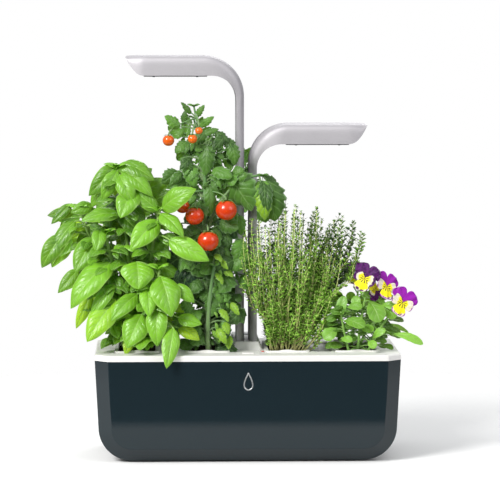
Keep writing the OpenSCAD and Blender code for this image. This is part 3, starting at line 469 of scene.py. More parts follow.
def rounded_prism(x0, x1, w, r, z0, z1):
    pts = []
    corners = ((x1 - r, w / 2 - r, 0), (x0 + r, w / 2 - r, 90), (x0 + r, r - w / 2, 180),
               (x1 - r, r - w / 2, 270))
    for cx, cy, a0 in corners:
        for k in range(7):
            a = radians(a0 + 15 * k)
            pts.append((cx + r * cos(a), cy + r * sin(a)))
    n = len(pts)
    verts = [(x, y, z) for z in (z0, z1) for x, y in pts]
    faces = [tuple(range(n - 1, -1, -1)), tuple(range(n, 2 * n))]
    faces += [(i, (i + 1) % n, n + (i + 1) % n, n + i) for i in range(n)]
    return verts, faces


def lamp(side):
    """The lamp's arm: a thin domed mast that turns over into a flat, squarer head with a pocket below."""
    sx, dz = (1, 0) if side == "right" else (-1, TRAVEL)
    rings, n = [], 33
    for o, i, w in stations():
        slab = max(0.0, min(1.0, (2 * w - MAST_W) / (HEAD_W - MAST_W)))
        for k in range(n):
            a = pi * k / (n - 1)
            c, q = cos(a), abs(sin(a)) ** (0.8 - 0.5 * slab)
            p = copysign(abs(c) ** (0.42 - 0.22 * slab), c)
            x, z = i[0] + (o[0] - i[0]) * q, i[1] + (o[1] - i[1]) * q + dz
            rings.append((x * MM * sx, -w * p * MM, z * MM))
    count = len(rings) // n
    faces = []
    for j in range(count - 1):
        for k in range(n):
            a, b = j * n + k, j * n + (k + 1) % n
            faces.append((a, b, b + n, a + n))
    faces.append(tuple(range(n - 1, -1, -1)))
    faces.append(tuple((count - 1) * n + k for k in range(n)))
    if sx < 0:
        faces = [f[::-1] for f in faces]
    o = new_object(side + "_lamp_body", rings, faces, lamp_silver)
    x0 = TIP_X - TIP_L - (POCKET_L + POCKET_GAP)
    v, f = rounded_prism(x0, x0 + POCKET_L, POCKET_W, POCKET_R, UNDER_Z - 1, UNDER_Z + POCKET_H)
    cutter = new_object("pocket", [(x * MM * sx, y * MM, (z + dz) * MM) for x, y, z in v],
                        f if sx > 0 else [g[::-1] for g in f], lamp_silver)
    mend_normals(o.data, merge=1e-6)
    mend_normals(cutter.data)
    subtract(o, [cutter])
    smooth(o.data, 32)
    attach(o, "lamp_" + side)
    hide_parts(side + "_lamp_arm")


lamp("left")
lamp("right")

# ---------- plant meshes ----------

def unit(v):
    v = np.asarray(v, float)
    return v / max(np.linalg.norm(v), 1e-9)


def bezier(s, t):
    a, b, c = (np.asarray(p, float) for p in s[:3])
    return (1 - t) ** 2 * a + 2 * t * (1 - t) * b + t * t * c


class Patch:
    """Collects many small meshes into one piece, with a place on the leaf kept for its material."""

    def __init__(self):
        self.verts, self.faces, self.marks, self.count = [], [], [], 0

    def add(self, verts, faces, marks):
        self.verts.append(verts)
        self.marks.append(marks)
        self.faces += [tuple(i + self.count for i in f) for f in faces]
        self.count += len(verts)

    def build(self, name, material, body, slot, nodes=(), at=(0, 0, 0)):
        verts = (np.concatenate(self.verts) + np.asarray(at)) * MM
        o = new_object(name, verts, self.faces, material)
        mark = o.data.attributes.new("leaf", "FLOAT_VECTOR", "POINT")
        mark.data.foreach_set("vector", np.concatenate(self.marks).astype(np.float32).ravel())
        o.data.polygons.foreach_set("use_smooth", [True] * len(o.data.polygons))
        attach(o, body)
        if nodes:
            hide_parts(*nodes)


def grid_faces(nv, nu):
    return [(j * nu + k, j * nu + k + 1, (j + 1) * nu + k + 1, (j + 1) * nu + k)
            for j in range(nv - 1) for k in range(nu - 1)]


def ring_faces(rows, sides):
    """Faces of a tube whose rings follow each other in its list of points."""
    turn = [(k, (k + 1) % sides) for k in range(sides)]
    return [(i * sides + a, i * sides + b, (i + 1) * sides + b, (i + 1) * sides + a)
            for i in range(rows) for a, b in turn]


def blade(patch, base, tip, width, face, kind, key, arch=0.1, curl=0.0, twist=0.0):
    """A leaf from base to tip, its upper side along face: rounded halves, sunk midrib, puffed quilts."""
    base, tip = np.asarray(base, float), np.asarray(tip, float)
    length = np.linalg.norm(tip - base)
    d = (tip - base) / length
    n = unit(np.asarray(face, float) - np.dot(face, d) * d)
    s = np.cross(d, n)
    a, b, nv, nu, ribs, slope, quilt, hump, roll, lobe, ripple = LEAF[kind]
    v = np.linspace(0, 1, nv)
    u = np.linspace(-1, 1, nu)
    m = a / (a + b)
    half = width / 2 * (np.clip(v, 0.004, 1) ** a * np.clip(1 - v, 0.003, 1) ** b) / (m ** a * (1 - m) ** b)
    V, U = np.meshgrid(v, u, indexing="ij")
    A = np.abs(U)
    q = (V - slope * A) * ribs
    if lobe:
        tooth = (V * ribs + 0.15) % 1
        tooth = np.where(tooth < 0.7, tooth / 0.7, (1 - tooth) / 0.3) - 0.6
        half = half[:, None] * (1 + lobe * tooth * A ** 2)
    else:
        half = np.repeat(half[:, None], nu, axis=1)
    bow = arch * length * 4 * V * (1 - V) - curl * length * V ** 3
    lift = width * (hump * A - roll * A ** 2) * np.sin(np.pi * np.clip(V, 0.02, 1) ** 0.6) ** 0.5
    lift += width * quilt * np.sin(np.pi * q) ** 2 * A ** 0.7 * (1 - A ** 5) * np.sin(np.pi * V) ** 0.6
    lift += width * ripple * np.sin(2 * np.pi * (V * 2.3 + key * 7)) * A ** 3
    ang = twist * V
    side = half * U
    x = side * np.cos(ang) - lift * np.sin(ang)
    z = side * np.sin(ang) + lift * np.cos(ang)
    pts = base + d * (length * V)[..., None] + s * x[..., None] + n * (z + bow)[..., None]
    marks = np.stack([U, V, np.full_like(U, key)], axis=-1)
    patch.add(pts.reshape(-1, 3), grid_faces(nv, nu), marks.reshape(-1, 3))


def tube(patch, pts, radii, sides, key=0.5):
    pts = np.asarray(pts, float)
    n = len(pts)
    t = np.gradient(pts, axis=0)
    t /= np.maximum(np.linalg.norm(t, axis=1), 1e-9)[:, None]
    ref = np.array([0.3, 1.0, 0.1]) if abs(t[0][1]) < 0.9 else np.array([1.0, 0, 0.1])
    verts = []
    for i in range(n):
        a = unit(ref - np.dot(ref, t[i]) * t[i])
        b = np.cross(t[i], a)
        for k in range(sides):
            w = 2 * pi * k / sides
            verts.append(pts[i] + radii[i] * (a * cos(w) + b * sin(w)))
    faces = ring_faces(n - 1, sides)
    faces += [tuple(range(sides - 1, -1, -1)), tuple((n - 1) * sides + k for k in range(sides))]
    marks = np.array([[k / sides, i / max(n - 1, 1), key] for i in range(n) for k in range(sides)])
    patch.add(np.array(verts), faces, marks)


# A stem is [root, bend, top, radius at the root, radius at the top], from the middle of its pod's soil.
def stem(patch, s, rings=14, sides=9, knots=0, key=0.5):
    ts = np.linspace(0, 1, rings)
    pts = [bezier(s, t) for t in ts]
    radii = [(s[3] + (s[4] - s[3]) * t) * (1 + 0.3 * (knots and sin(t * knots * pi) ** 8)) for t in ts]
    tube(patch, pts, radii, sides, key)


def grow_point(s, p):
    """Where on stem s a stalk to p leaves: a little below the stem's nearest point."""
    ts = np.linspace(0, 1, 25)
    near = [np.linalg.norm(bezier(s, t) - p) for t in ts]
    return bezier(s, max(0.06, ts[int(np.argmin(near))] - 0.05))


def petiole(patch, root, base, tip, r, key=0.5):
    """A stalk that leaves the stem upwards and runs on into the leaf's midrib."""
    root, base, tip = (np.asarray(p, float) for p in (root, base, tip))
    d = unit(tip - base)
    span = np.linalg.norm(base - root)
    mid = (root + base) / 2 + np.array([0, 0, 0.16 * span]) - d * 0.12 * span
    pts = [bezier((root, mid, base), t) for t in np.linspace(0, 1, 7)]
    pts.append(base + d * 0.04 * np.linalg.norm(tip - base))
    tube(patch, pts, np.linspace(r * 1.15, r * 0.7, 8), 6, key)


def behind(p):
    """A point of the front half, moved to the rear half and a little smaller."""
    return np.array([p[0] * 0.92, -p[1] * 0.96, p[2] * 0.94])


def same(p):
    return np.array(p, float)


def half_plant(rear, stems):
    """For the front or rear half: how its points are flipped, the sign of its side and its own stems."""
    flip = behind if rear else same
    return flip, -1 if rear else 1, [[flip(s[0]), flip(s[1]), flip(s[2]), s[3], s[4]] for s in stems]


# kind: two shape powers, rows, columns, side veins, their slope, quilting, humps, rolled rims, lobes,
# rippled rims
LEAF = {"basil": (0.6, 0.88, 29, 13, 6.5, 0.3, 0.075, 0.23, 0.3, 0, 0.03),
        "tomato": (0.55, 0.8, 31, 11, 5.0, 0.26, 0.06, 0.12, 0.34, 0.24, 0.06),
        "viola": (0.9, 0.5, 19, 9, 4.5, 0.35, 0.015, 0.16, 0.12, 0.09, 0.02),
        "sepal": (0.5, 0.9, 7, 3, 1.0, 0, 0, 0, 0.1, 0, 0)}


def leaf_material(name, dark, light, rib, rim, rough, ribs, slope, rib_w, through, through_share, depth,
                  sheen=0.0, lit=(0.42, 0.66, 0.012), deep=(0.012, 0.045, 0.02), spec=0.45):
    """A leaf with midrib, side veins, paler rim, patches of colour, painted shade and light by its key and a
    little light passing through.

    A key over 1.2 is a leaf with the light behind it, one under 0 a bluish leaf in the shade."""
    m, t, p, out = new_material(name)
    across, v, key = leaf_marks(t)
    u = absolute(t, across)
    vec = object_coords(t)
    patches = noise_tex(t, vec, 110, 4, 0.6)
    # Painted shade and light: a low key paints the dark tone of a leaf in the shade, a high key the light
    # tone of a leaf in the light; the patches add real tone.
    tone = plus(t, times(t, key, 0.75), times(t, patches, 0.45))
    body = mix_colour(t, remap(t, tone, 0.15, 0.95), dark, light)
    # Painted light: a key over 1.2 paints a leaf with the light behind it.
    body = mix_colour(t, remap(t, key, 1.2, 1.4), body, lit)
    # Painted shade: a key under 0 paints a bluish leaf in the shade.
    body = mix_colour(t, remap(t, key, 0.0, -0.2), body, deep)
    middle = remap(t, u, rib_w * 0.6, rib_w * 1.6, 1, 0)
    q = times(t, minus(t, v, times(t, u, slope)), ribs)
    wave = absolute(t, math_node(t, "SINE", times(t, q, pi)))
    side = times(t, remap(t, wave, 0.06, 0.34, 0.75, 0), remap(t, u, 0.6, 1.0, 1, 0.1))
    rib_mask = math_node(t, "MAXIMUM", middle, side)
    col = mix_colour(t, times(t, rib_mask, 0.8), body, rib)
    col = mix_colour(t, remap(t, u, 0.86, 1.0, 0, 0.75), col, rim)
    paint(t, p, col)
    polish(t, p, vec, 500, 2, rough - 0.08, rough + 0.1)
    put(p, "Specular IOR Level", spec)
    put(p, "Sheen Weight", sheen)
    put(p, "Sheen Roughness", 0.5)
    fine = noise_tex(t, vec, 900, 3)
    height = plus(t, times(t, rib_mask, -0.55), times(t, fine, 0.35))
    bump(t, p, height, depth, 0.0006)
    trans = add(t, "ShaderNodeBsdfTranslucent")
    t.links.new(mix_colour(t, times(t, rib_mask, 0.5), through, dark), trans.inputs["Color"])
    mix = add(t, "ShaderNodeMixShader")
    mix.inputs[0].default_value = through_share
    t.links.new(p.outputs[0], mix.inputs[1])
    t.links.new(trans.outputs[0], mix.inputs[2])
    t.links.new(mix.outputs[0], out.inputs["Surface"])
    return m


def stem_material(name, low, high, rough=0.5, sheen=0.0, shade=(0, 0.01)):
    """A stem from its low colour to its high one, darker where its key is near the start of shade."""
    m, t, p, out = new_material(name)
    _, along, key = leaf_marks(t)
    vec = object_coords(t)
    tone = plus(t, times(t, along, 0.6),
                     times(t, noise_tex(t, vec, 260, 3), 0.5))
    body = mix_colour(t, remap(t, tone, 0.15, 0.85), low, high)
    # Painted shade: a stem whose key is low turns dark green.
    painted_stem_shade = remap(t, key, shade[0], shade[1], 0.75, 0)
    paint(t, p, mix_colour(t, painted_stem_shade, body, (0.02, 0.05, 0.008)))
    polish(t, p, vec, 800, 2, rough - 0.1, rough + 0.1)
    put(p, "Sheen Weight", sheen)
    bump(t, p, noise_tex(t, vec, 1500, 3), 0.3, 0.0004)
    return m


POD_X = {"basil": -116, "tomato": -42, "thyme": 42, "viola": 116}
SOIL_Z = 110.1


def at_pod(plant):
    return (POD_X[plant], 0, SOIL_Z)


def chance(k=1.0):
    return (rand() - 0.5) * 2 * k


# ---------- basil ----------

basil_green = leaf_material("basil_leaf", (0.007, 0.065, 0.001), (0.25, 0.6, 0.03), (0.33, 0.62, 0.1),
                            (0.36, 0.62, 0.12), 0.34, 6.5, 0.3, 0.045, through=(0.36, 0.62, 0.02),
                            through_share=0.22, depth=0.7, spec=0.65)
basil_stem = stem_material("basil_stem", (0.16, 0.3, 0.05), (0.3, 0.5, 0.12))

BASIL_STEMS = [[[6, -34, 0], [10, -40, 90], [24, -54, 152], 2.2, 1.3],
               [[-4, -30, 0], [-6, -34, 110], [-20, -42, 196], 2.2, 1.2],
               [[-12, -26, 0], [-30, -26, 70], [-60, -26, 152], 2.2, 1.1],
               [[-10, -34, 0], [-20, -42, 60], [-32, -44, 128], 2, 1.2],
               [[8, -44, 0], [12, -58, 40], [24, -66, 92], 2, 1.1]]
# leaves placed after the photograph: stem, base, tip, width
BASIL_ROWS = [
    [0, [27, -68, 156], [62, -84, 177], 24], [0, [25, -66, 150], [49, -86, 128], 18],
    [0, [22, -60, 143], [-6, -80, 114], 24], [0, [22, -58, 153], [-4, -52, 174], 16],
    [0, [34, -76, 124], [75, -88, 103], 22], [4, [0, -66, 100], [2, -86, 74], 34],
    [1, [-21, -44, 198], [8, -50, 193], 14], [1, [-23, -40, 198], [-46, -46, 174], 16],
    [1, [-15, -46, 195], [17, -60, 168], 18], [1, [-29, -34, 183], [-48, -36, 155], 16],
    [1, [-2, -48, 175], [-17, -72, 147], 24], [1, [-18, -46, 149], [-58, -60, 142], 18],
    [2, [-46, -30, 157], [-69, -38, 150], 14], [2, [-69, -22, 158], [-90, -26, 137], 11],
    [2, [-65, -28, 140], [-91, -36, 104], 18], [2, [-43, -34, 124], [-65, -50, 88], 25],
    [2, [-78, -30, 126], [-100, -38, 92], 20], [2, [-66, -20, 150], [-94, -24, 146], 13],
    [2, [-62, -28, 89], [-83, -36, 65], 14], [3, [-38, -44, 134], [-42, -62, 110], 15],
    [3, [-28, -50, 98], [-69, -68, 52], 30], [3, [-24, -56, 76], [-49, -66, 40], 15],
    [4, [1, -60, 66], [-27, -78, 40], 18],
    [4, [11, -70, 74], [13, -90, 45], 18], [4, [25, -70, 85], [36, -90, 45], 31],
    [4, [40, -68, 76], [60, -74, 58], 14], [4, [5, -66, 45], [-10, -82, 12], 27],
    [4, [21, -72, 56], [21, -88, 14], 22], [4, [38, -80, 32], [31, -98, -8], 18],
    [4, [43, -68, 42], [68, -72, 35], 16], [1, [-20, -48, 194], [-36, -56, 164], 17],
    [3, [-25, -50, 32], [-19, -60, 19], 11], [2, [-40, -10, 110], [-66, -6, 88], 20],
    [1, [-24, -16, 160], [-46, -8, 148], 18], [3, [-20, -18, 96], [-2, -10, 112], 20],
    [1, [-8, -14, 130], [12, -4, 124], 20], [1, [-18, -50, 190], [-3, -62, 160], 19],
    [1, [-20, -40, 200], [-50, -46, 168], 20], [1, [-14, -44, 202], [19, -50, 184], 20],
    [1, [-5, -30, 178], [16, -34, 196], 17], [0, [4, -26, 168], [34, -30, 184], 20],
    [0, [14, -32, 158], [38, -36, 172], 19], [1, [-6, -26, 160], [16, -30, 152], 20],
    [0, [16, -36, 128], [30, -50, 98], 22], [4, [20, -44, 96], [44, -50, 84], 20]]
# leaves with the light behind them
BASIL_LIT = [[3, [-22, -56, 60], [-52, -76, 18], 27], [4, [44, -60, 30], [66, -64, 18], 15],
             [3, [-48, -40, 66], [-64, -44, 28], 13], [2, [-58, -18, 138], [-76, -20, 126], 11],
             [4, [-6, -50, 24], [-12, -62, 2], 13], [4, [30, -50, 34], [44, -58, 8], 15]]
# how far left the scattered leaves may reach, and how many fill the gaps between the placed ones
NODE_LEFT, FILLER_LEFT, FILLERS = -92, -88, 50

leaves, stems = Patch(), Patch()
for rear in (False, True):
    flip, back, st = half_plant(rear, BASIL_STEMS)
    for s in st:
        stem(stems, s, 18, 10, knots=5, key=rand())
        for k in range(6):
            a = 2 * pi * (k / 6 + rand() * 0.1)
            size = 9 + 5 * (k % 2)
            up = 0.9 if k % 2 else 1.6
            out = np.array([cos(a), -abs(sin(a)) * back, 0]) * size
            # Painted light: the leaves at the stem tops get a high key.
            blade(leaves, s[2], s[2] + out + np.array([0, 0, size * up * 0.5]), size * 0.62,
                  [-out[0] * 0.04, -0.5 * back, 1], "basil", 0.75 + 0.25 * rand(), 0.12, 0.1)
    for i, (k, b, t, w) in enumerate(BASIL_ROWS + BASIL_LIT):
        b, t = flip(b), flip(t)
        face = np.array([0.25 * chance(), -1 * back, 0.55 + 0.3 * chance()])
        # Painted light and shade: placed leaves further in front get a lighter key, the backlit ones a key
        # over 1.2.
        front = max(0, min(1, (-t[1] * back - 30) / 60))
        key = 0.2 + 0.55 * front + 0.25 * rand()
        if i >= len(BASIL_ROWS):
            key = 1.25 + 0.15 * rand()
        blade(leaves, b, t, w * 1.04, face, "basil", key, 0.1 + 0.05 * chance(), 0.06 * rand(),
              0.25 * chance())
        petiole(stems, grow_point(st[k], b), b, t, 1.0, rand())
    for s in st:
        nodes = int(np.linalg.norm(s[2] - s[0]) / 17)
        turn = rand() * pi
        for j in range(1, nodes):
            x = j / nodes
            p = bezier(s, x)
            for k in range(4):
                a = turn + j * 1.57 + k % 2 * pi + chance(0.5)
                stage = k // 2
                size = (20 + 12 * rand()) * (1 - 0.35 * stage) * (1.1 - 0.4 * x)
                out = np.array([cos(a), -abs(sin(a)) * 0.8 * back - 0.25 * back, 0.35 - 0.3 * stage])
                b = p + unit(out) * (8 + 5 * stage)
                tip = b + unit(out + np.array([0, -0.2 * back, -0.45 - 0.35 * rand()])) * size
                tip[0] = max(NODE_LEFT, tip[0])
                face = np.array([0.35 * cos(a), -0.75 * back, 0.75])
                # Painted light and shade: node leaves pointing out to the front or back get a higher key
                # than those pointing sideways.
                blade(leaves, b, tip, size * (0.58 + 0.1 * rand()), face, "basil",
                      0.12 + 0.75 * rand() * (0.5 + 0.5 * abs(sin(a))), 0.13, 0.1 * rand(), chance(0.3))
                petiole(stems, p, b, tip, 0.8, rand())
    for i in range(FILLERS):
        r = BASIL_ROWS[int(rng.integers(len(BASIL_ROWS)))]
        o = BASIL_ROWS[int(rng.integers(len(BASIL_ROWS)))]
        b = (np.array(r[1]) * 0.55 + bezier(BASIL_STEMS[r[0]], 0.2 + 0.7 * rand()) * 0.25
             + np.array(o[1]) * 0.2)
        deep = rand()
        b = flip([b[0], b[1] * (0.35 + 0.35 * deep) - 14 * rand(), b[2]])
        a = rand() * 2 * pi
        size = 16 + 16 * rand()
        tip = b + np.array([cos(a) * size * 0.8, -abs(sin(a)) * size * 0.7 * back,
                            -size * (0.2 + 0.6 * rand())])
        tip[0] = max(tip[0], FILLER_LEFT)
        # Painted shade: fillers set deeper in the plant get a low key.
        blade(leaves, b, tip, size * 0.62, [0.4 * chance(), -0.8 * back, 0.8], "basil", 0.5 * deep * rand(),
              0.12, 0.08, 0.3 * chance())
        petiole(stems, grow_point(st[r[0]], b), b, tip, 0.8, rand())
leaves.build("basil_leaves", basil_green, "pod_basil", "basil_leaf", ["basil_plant"], at_pod("basil"))
stems.build("basil_stems", basil_stem, "pod_basil", "basil_leaf", (), at_pod("basil"))

# ---------- tomato ----------

tomato_green = leaf_material("tomato_leaf", (0.005, 0.03, 0.005), (0.15, 0.37, 0.045), (0.2, 0.38, 0.1),
                             (0.25, 0.42, 0.19), 0.42, 5.0, 0.26, 0.04, through=(0.22, 0.5, 0.01),
                             through_share=0.2, depth=0.8, sheen=0.15, lit=(0.25, 0.47, 0.02))
tomato_stalk = stem_material("tomato_stem", (0.2, 0.3, 0.11), (0.1, 0.24, 0.06), 0.6, 0.4)

TOMATO_STEMS = [[[2, -32, 0], [-4, -56, 100], [-2, -50, 212], 3.2, 1.7],
                [[-1, -50, 150], [-4, -50, 215], [-14, -48, 262], 1.8, 0.9],
                [[-1, -52, 130], [20, -50, 190], [58, -49, 189], 1.7, 1.1],
                [[1, -45, 0], [-2, -66, 44], [7, -62, 96], 2.5, 1.3]]
TOMATO_ROWS = [
    [1, [-28, -50, 240], [-44, -54, 252], 13], [1, [-25, -48, 244], [-23, -50, 257], 8],
    [1, [-21, -50, 225], [-34, -55, 214], 14], [0, [-2, -48, 236], [-12, -51, 220], 12],
    [0, [0, -54, 221], [-2, -59, 191], 17], [0, [9, -50, 235], [23, -52, 224], 10],
    [0, [24, -48, 225], [29, -53, 200], 14], [2, [22, -50, 192], [47, -56, 153], 35],
    [2, [63, -48, 184], [71, -53, 141], 29], [0, [3, -56, 180], [3, -60, 147], 13],
    [0, [-19, -50, 201], [-14, -57, 178], 16], [0, [-31, -48, 194], [-47, -53, 181], 16],
    [2, [34, -42, 147], [35, -46, 126], 12], [0, [6, -50, 92], [-13, -54, 94], 10],
    [0, [-8, -50, 80], [-19, -56, 66], 16], [0, [15, -50, 76], [14, -56, 55], 18],
    [0, [5, -56, 63], [4, -60, 42], 15], [0, [-3, -50, 22], [-18, -56, 12], 14],
    [0, [18, -50, 40], [18, -56, 15], 12], [0, [27, -40, 62], [27, -42, 36], 15],
    [0, [33, -40, 112], [33, -44, 89], 11], [0, [19, -46, 126], [22, -50, 108], 12],
    [0, [-12, -46, 140], [-20, -50, 118], 14], [0, [-14, -46, 112], [-26, -50, 98], 12],
    [0, [-20, -42, 172], [-40, -44, 184], 18], [0, [-16, -42, 184], [-40, -44, 172], 18],
    [1, [-12, -48, 250], [-3, -52, 263], 7], [1, [-8, -48, 240], [7, -52, 251], 8],
    [1, [-6, -48, 232], [12, -50, 238], 8], [1, [-16, -48, 254], [-27, -52, 266], 7]]
# bluish leaves in the shade of the basil
TOMATO_DEEP = [[0, [-22, -44, 108], [-44, -46, 92], 24], [0, [-16, -42, 96], [-26, -46, 68], 22],
               [0, [-28, -42, 94], [-40, -46, 66], 20], [0, [-12, -40, 124], [-36, -42, 116], 20],
               [0, [-10, -42, 80], [-22, -46, 54], 18], [0, [20, -44, 150], [30, -48, 122], 16]]
# leaflets with the light behind them
TOMATO_LIT = [[2, [57, -52, 176], [60, -58, 143], 18], [3, [14, -58, 50], [22, -68, 38], 9],
              [3, [18, -56, 36], [27, -64, 24], 9], [3, [10, -56, 30], [19, -66, 14], 10],
              [3, [22, -52, 22], [30, -60, 8], 9], [3, [24, -52, 56], [33, -60, 43], 8],
              [3, [8, -60, 108], [15, -68, 100], 8], [3, [12, -58, 102], [21, -66, 92], 7],
              [3, [17, -56, 92], [27, -62, 84], 8], [3, [9, -60, 88], [16, -70, 77], 8]]
# leaves of the rear stems that show between the masts
TOMATO_BETWEEN = [[2, [44, -50, 206], [38, -54, 234], 15], [2, [47, -50, 210], [55, -56, 228], 13],
                  [2, [44, -48, 200], [53, -54, 206], 13]]
# heights between which foliage may come in again over the flap's swing
FLAP_CLEAR = (36, 56)
# middle, radius, ripeness
FRUITS = [[[-40.5, -52, 226], 6.2, 0.35], [[-15.5, -62, 228], 5, 0.2], [[-9, -72, 237], 4, 0.15],
          [[-13.5, -66, 148], 10, 0.85], [[19.5, -66, 154], 11.3, 1.0], [[-26, -52, 157], 7.6, 0.6],
          [[0.5, -70, 122], 11.2, 0.95], [[-8, 64, 140], 10, 0.9], [[14, 61, 116], 10.5, 1.0],
          [[-16, 60, 190], 6, 0.4]]


def tomato_leaf(leaves, stems, root, b, t, w, back, key):
    """A stalk with one large lobed leaflet and smaller ones in pairs along the stalk."""
    face = np.array([0.45 * chance(), -1.0 * back, 0.5 + 0.4 * chance()])
    b[0], t[0] = (min(p[0], np.interp(p[2], FLAP_CLEAR, (22, 90))) for p in (b, t))
    blade(leaves, b, t, w, face, "tomato", key, 0.1 + 0.06 * chance(), 0.1 * rand(), 0.5 * chance())
    petiole(stems, root, b, t, 0.95, rand())
    d = b - root
    span = np.linalg.norm(d)
    if span < 9:
        return
    d = d / span
    s = unit(np.cross(d, face))
    for f in (0.42, 0.8):
        p = root + d * span * f + np.array([0, 0, 0.1 * span])
        for sign in (-1, 1):
            if w < 13 and sign < 0:
                continue
            size = w * (0.45 + 0.25 * rand())
            end = p + (s * sign * 0.8 + d * 0.4 + np.array([0, -0.2 * back, -0.55])) * size * 1.2
            # Painted shade: side leaflets take four fifths of their leaf's key, plus a little at random when
            # it is above 0.
            blade(leaves, p + (end - p) * 0.14, end, size * 0.62,
                  face + np.array([chance(0.5), 0, chance(0.3)]), "tomato",
                  key * 0.8 + 0.15 * rand() * (key > 0), 0.12, 0.1, 0.4 * chance())
            tube(stems, [p, p + (end - p) * 0.2], [0.5, 0.4], 5)


def fruit_mesh(patch, c, r, ripe):
    """A round fruit, slightly flattened, with soft shoulders sunk round its stalk."""
    rows, cols = 22, 30
    verts, marks = [], []
    for j in range(rows + 1):
        a = pi * j / rows
        for k in range(cols):
            b = 2 * pi * k / cols
            rib = 1 + 0.012 * cos(5 * b) * sin(a) ** 0.5 * max(0, cos(a))
            rr = r * rib * sin(a)
            z = (r * 0.965 * cos(a) - 0.13 * r * exp(-(a / 0.36) ** 2)
                 + 0.02 * r * exp(-((pi - a) / 0.3) ** 2))
            verts.append((c[0] + rr * cos(b), c[1] + rr * sin(b), c[2] + z))
            marks.append((cos(a), k / cols, ripe))
    faces = [(j * cols + k, (j + 1) * cols + k, (j + 1) * cols + (k + 1) % cols, j * cols + (k + 1) % cols)
             for j in range(rows) for k in range(cols)]
    patch.add(np.array(verts), faces, np.array(marks))


def fruit_material():
    """Skin from orange to red by ripeness, more orange round the stalk, with faint freckles."""
    m, t, p, out = new_material("tomato_skin")
    height, _, ripeness = leaf_marks(t)
    vec = object_coords(t)
    ripe = plus(t, ripeness, speckle(t, vec, 130, 3, -0.08, 0.08))
    body = mix_colour(t, remap(t, ripe, 0.1, 0.75), (0.86, 0.16, 0.003), (0.62, 0.04, 0.002))
    top = remap(t, height, 0.78, 0.98, 0, 0.65)
    body = mix_colour(t, top, body, (0.75, 0.2, 0.02))
    freckle = remap(t, noise_tex(t, vec, 1500, 1), 0.66, 0.75, 0, 0.25)
    paint(t, p, mix_colour(t, freckle, body, (0.9, 0.4, 0.12)))
    polish(t, p, vec, 70, 2, 0.16, 0.26)
    put(p, "Subsurface Weight", 0.05)
    put(p, "Subsurface Radius", (0.004, 0.001, 0.0006))
    put(p, "Subsurface Scale", 0.6)
    put(p, "Coat Weight", 0.3)
    put(p, "Coat Roughness", 0.05)
    bump(t, p, noise_tex(t, vec, 300, 2), 0.05, 0.0005)
    return m


leaves, stems, fruit = Patch(), Patch(), Patch()
for rear in (False, True):
    flip, back, st = half_plant(rear, TOMATO_STEMS)
    for s in st:
        stem(stems, s, 22, 10, knots=7, key=rand())
        for k in range(5):
            a = 2 * pi * k / 5 + rand()
            out = np.array([cos(a), -abs(sin(a)) * back, 0.3]) * (5 + 3 * rand())
            blade(leaves, s[2], s[2] + out, 3.4, [0, -back, 1], "tomato", 0.5 + 0.3 * rand(), 0.1, 0.1)
    # Painted light and shade: the listed leaves get a random key, the shaded ones a key under 0 and the
    # backlit ones a key over 1.2.
    rows = [(r, 0.15 + 0.7 * rand()) for r in TOMATO_ROWS]
    rows += [(r, -0.3) for r in TOMATO_DEEP] + [(r, 1.5) for r in TOMATO_LIT]
    rows += [(r, 0.3) for r in TOMATO_BETWEEN] if rear else []
    for (k, b, t, w), key in rows:
        b, t = flip(b), flip(t)
        tomato_leaf(leaves, stems, grow_point(st[k], b), b, t, w * 1.06, back, key)
    for i in range(62):
        high = i % 4 == 0
        z = 158 + 78 * rand() if high else 14 + 140 * rand()
        x = (-36 + 66 * rand() if high else -30 + 72 * rand()) * (1 - 0.5 * max(0, (z - 200) / 60))
        deep = rand()
        b = flip([x, -41 - 12 * deep, z])
        size = (12 + 20 * rand() ** 1.4) * (0.7 if z > 205 else 1)
        a = rand() * 2 * pi
        t = b + np.array([cos(a) * size * 0.8, -(0.15 + 0.5 * rand()) * size * back,
                          -size * (0.25 + 0.75 * rand())])
        # Painted light and shade: the key rises for leaves further out to the front or back.
        tomato_leaf(leaves, stems, grow_point(st[0 if z < 200 else 1], b), b, t,
                    size * (0.62 if high else 0.8), back, (0.1 + 1.1 * rand() ** 1.3) * (0.4 + 0.6 * deep))
for c, r, ripe in FRUITS:
    c = np.array(c, float)
    back = 1 if c[1] < 0 else -1
    fruit_mesh(fruit, c, r * 0.985, ripe)
    s = TOMATO_STEMS[1 if c[2] > 180 else 0]
    if back < 0:
        s = [behind(s[0]), behind(s[1]), behind(s[2])]
    top = c + np.array([0, 0, r * 0.86])
    for k in range(5):
        a = 2 * pi * k / 5 + ripe * 3
        out = np.array([cos(a), sin(a), 0])
        blade(leaves, top, top + out * r * 0.95 + np.array([0, 0, 0.06 * r]), r * 0.26, [0, 0, 1], "sepal",
              0.55 + 0.2 * rand(), 0.14, 0.25)
    joint = top + np.array([0, 0, 4.5])
    root = grow_point(s, c + [0, 0, r + 17])
    tube(stems, [bezier((top - [0, 0, 0.6], joint + [0, 0, 5], root), x) for x in np.linspace(0, 1, 9)],
         [0.75, 0.8, 1.15, 0.8, 0.75, 0.75, 0.8, 0.85, 0.95], 7)
leaves.build("tomato_leaves", tomato_green, "pod_tomato", "tomato_leaf", ["tomato_plant"], at_pod("tomato"))
stems.build("tomato_stems", tomato_stalk, "pod_tomato", "tomato_leaf", (), at_pod("tomato"))
fruit.build("tomato_fruits", fruit_material(), "pod_tomato", "tomato_skin", ["tomato_fruit"],
            at_pod("tomato"))

# ---------- thyme ----------

THYME_SPRIGS, LOW_SHOOTS = 39, 46


def roll(i, k):
    """The source's repeatable number from 0 to 1 for sprig i, kind k."""
    v = sin(radians(i * 127.1 + k * 311.7)) * 43758.5453
    return v % 1


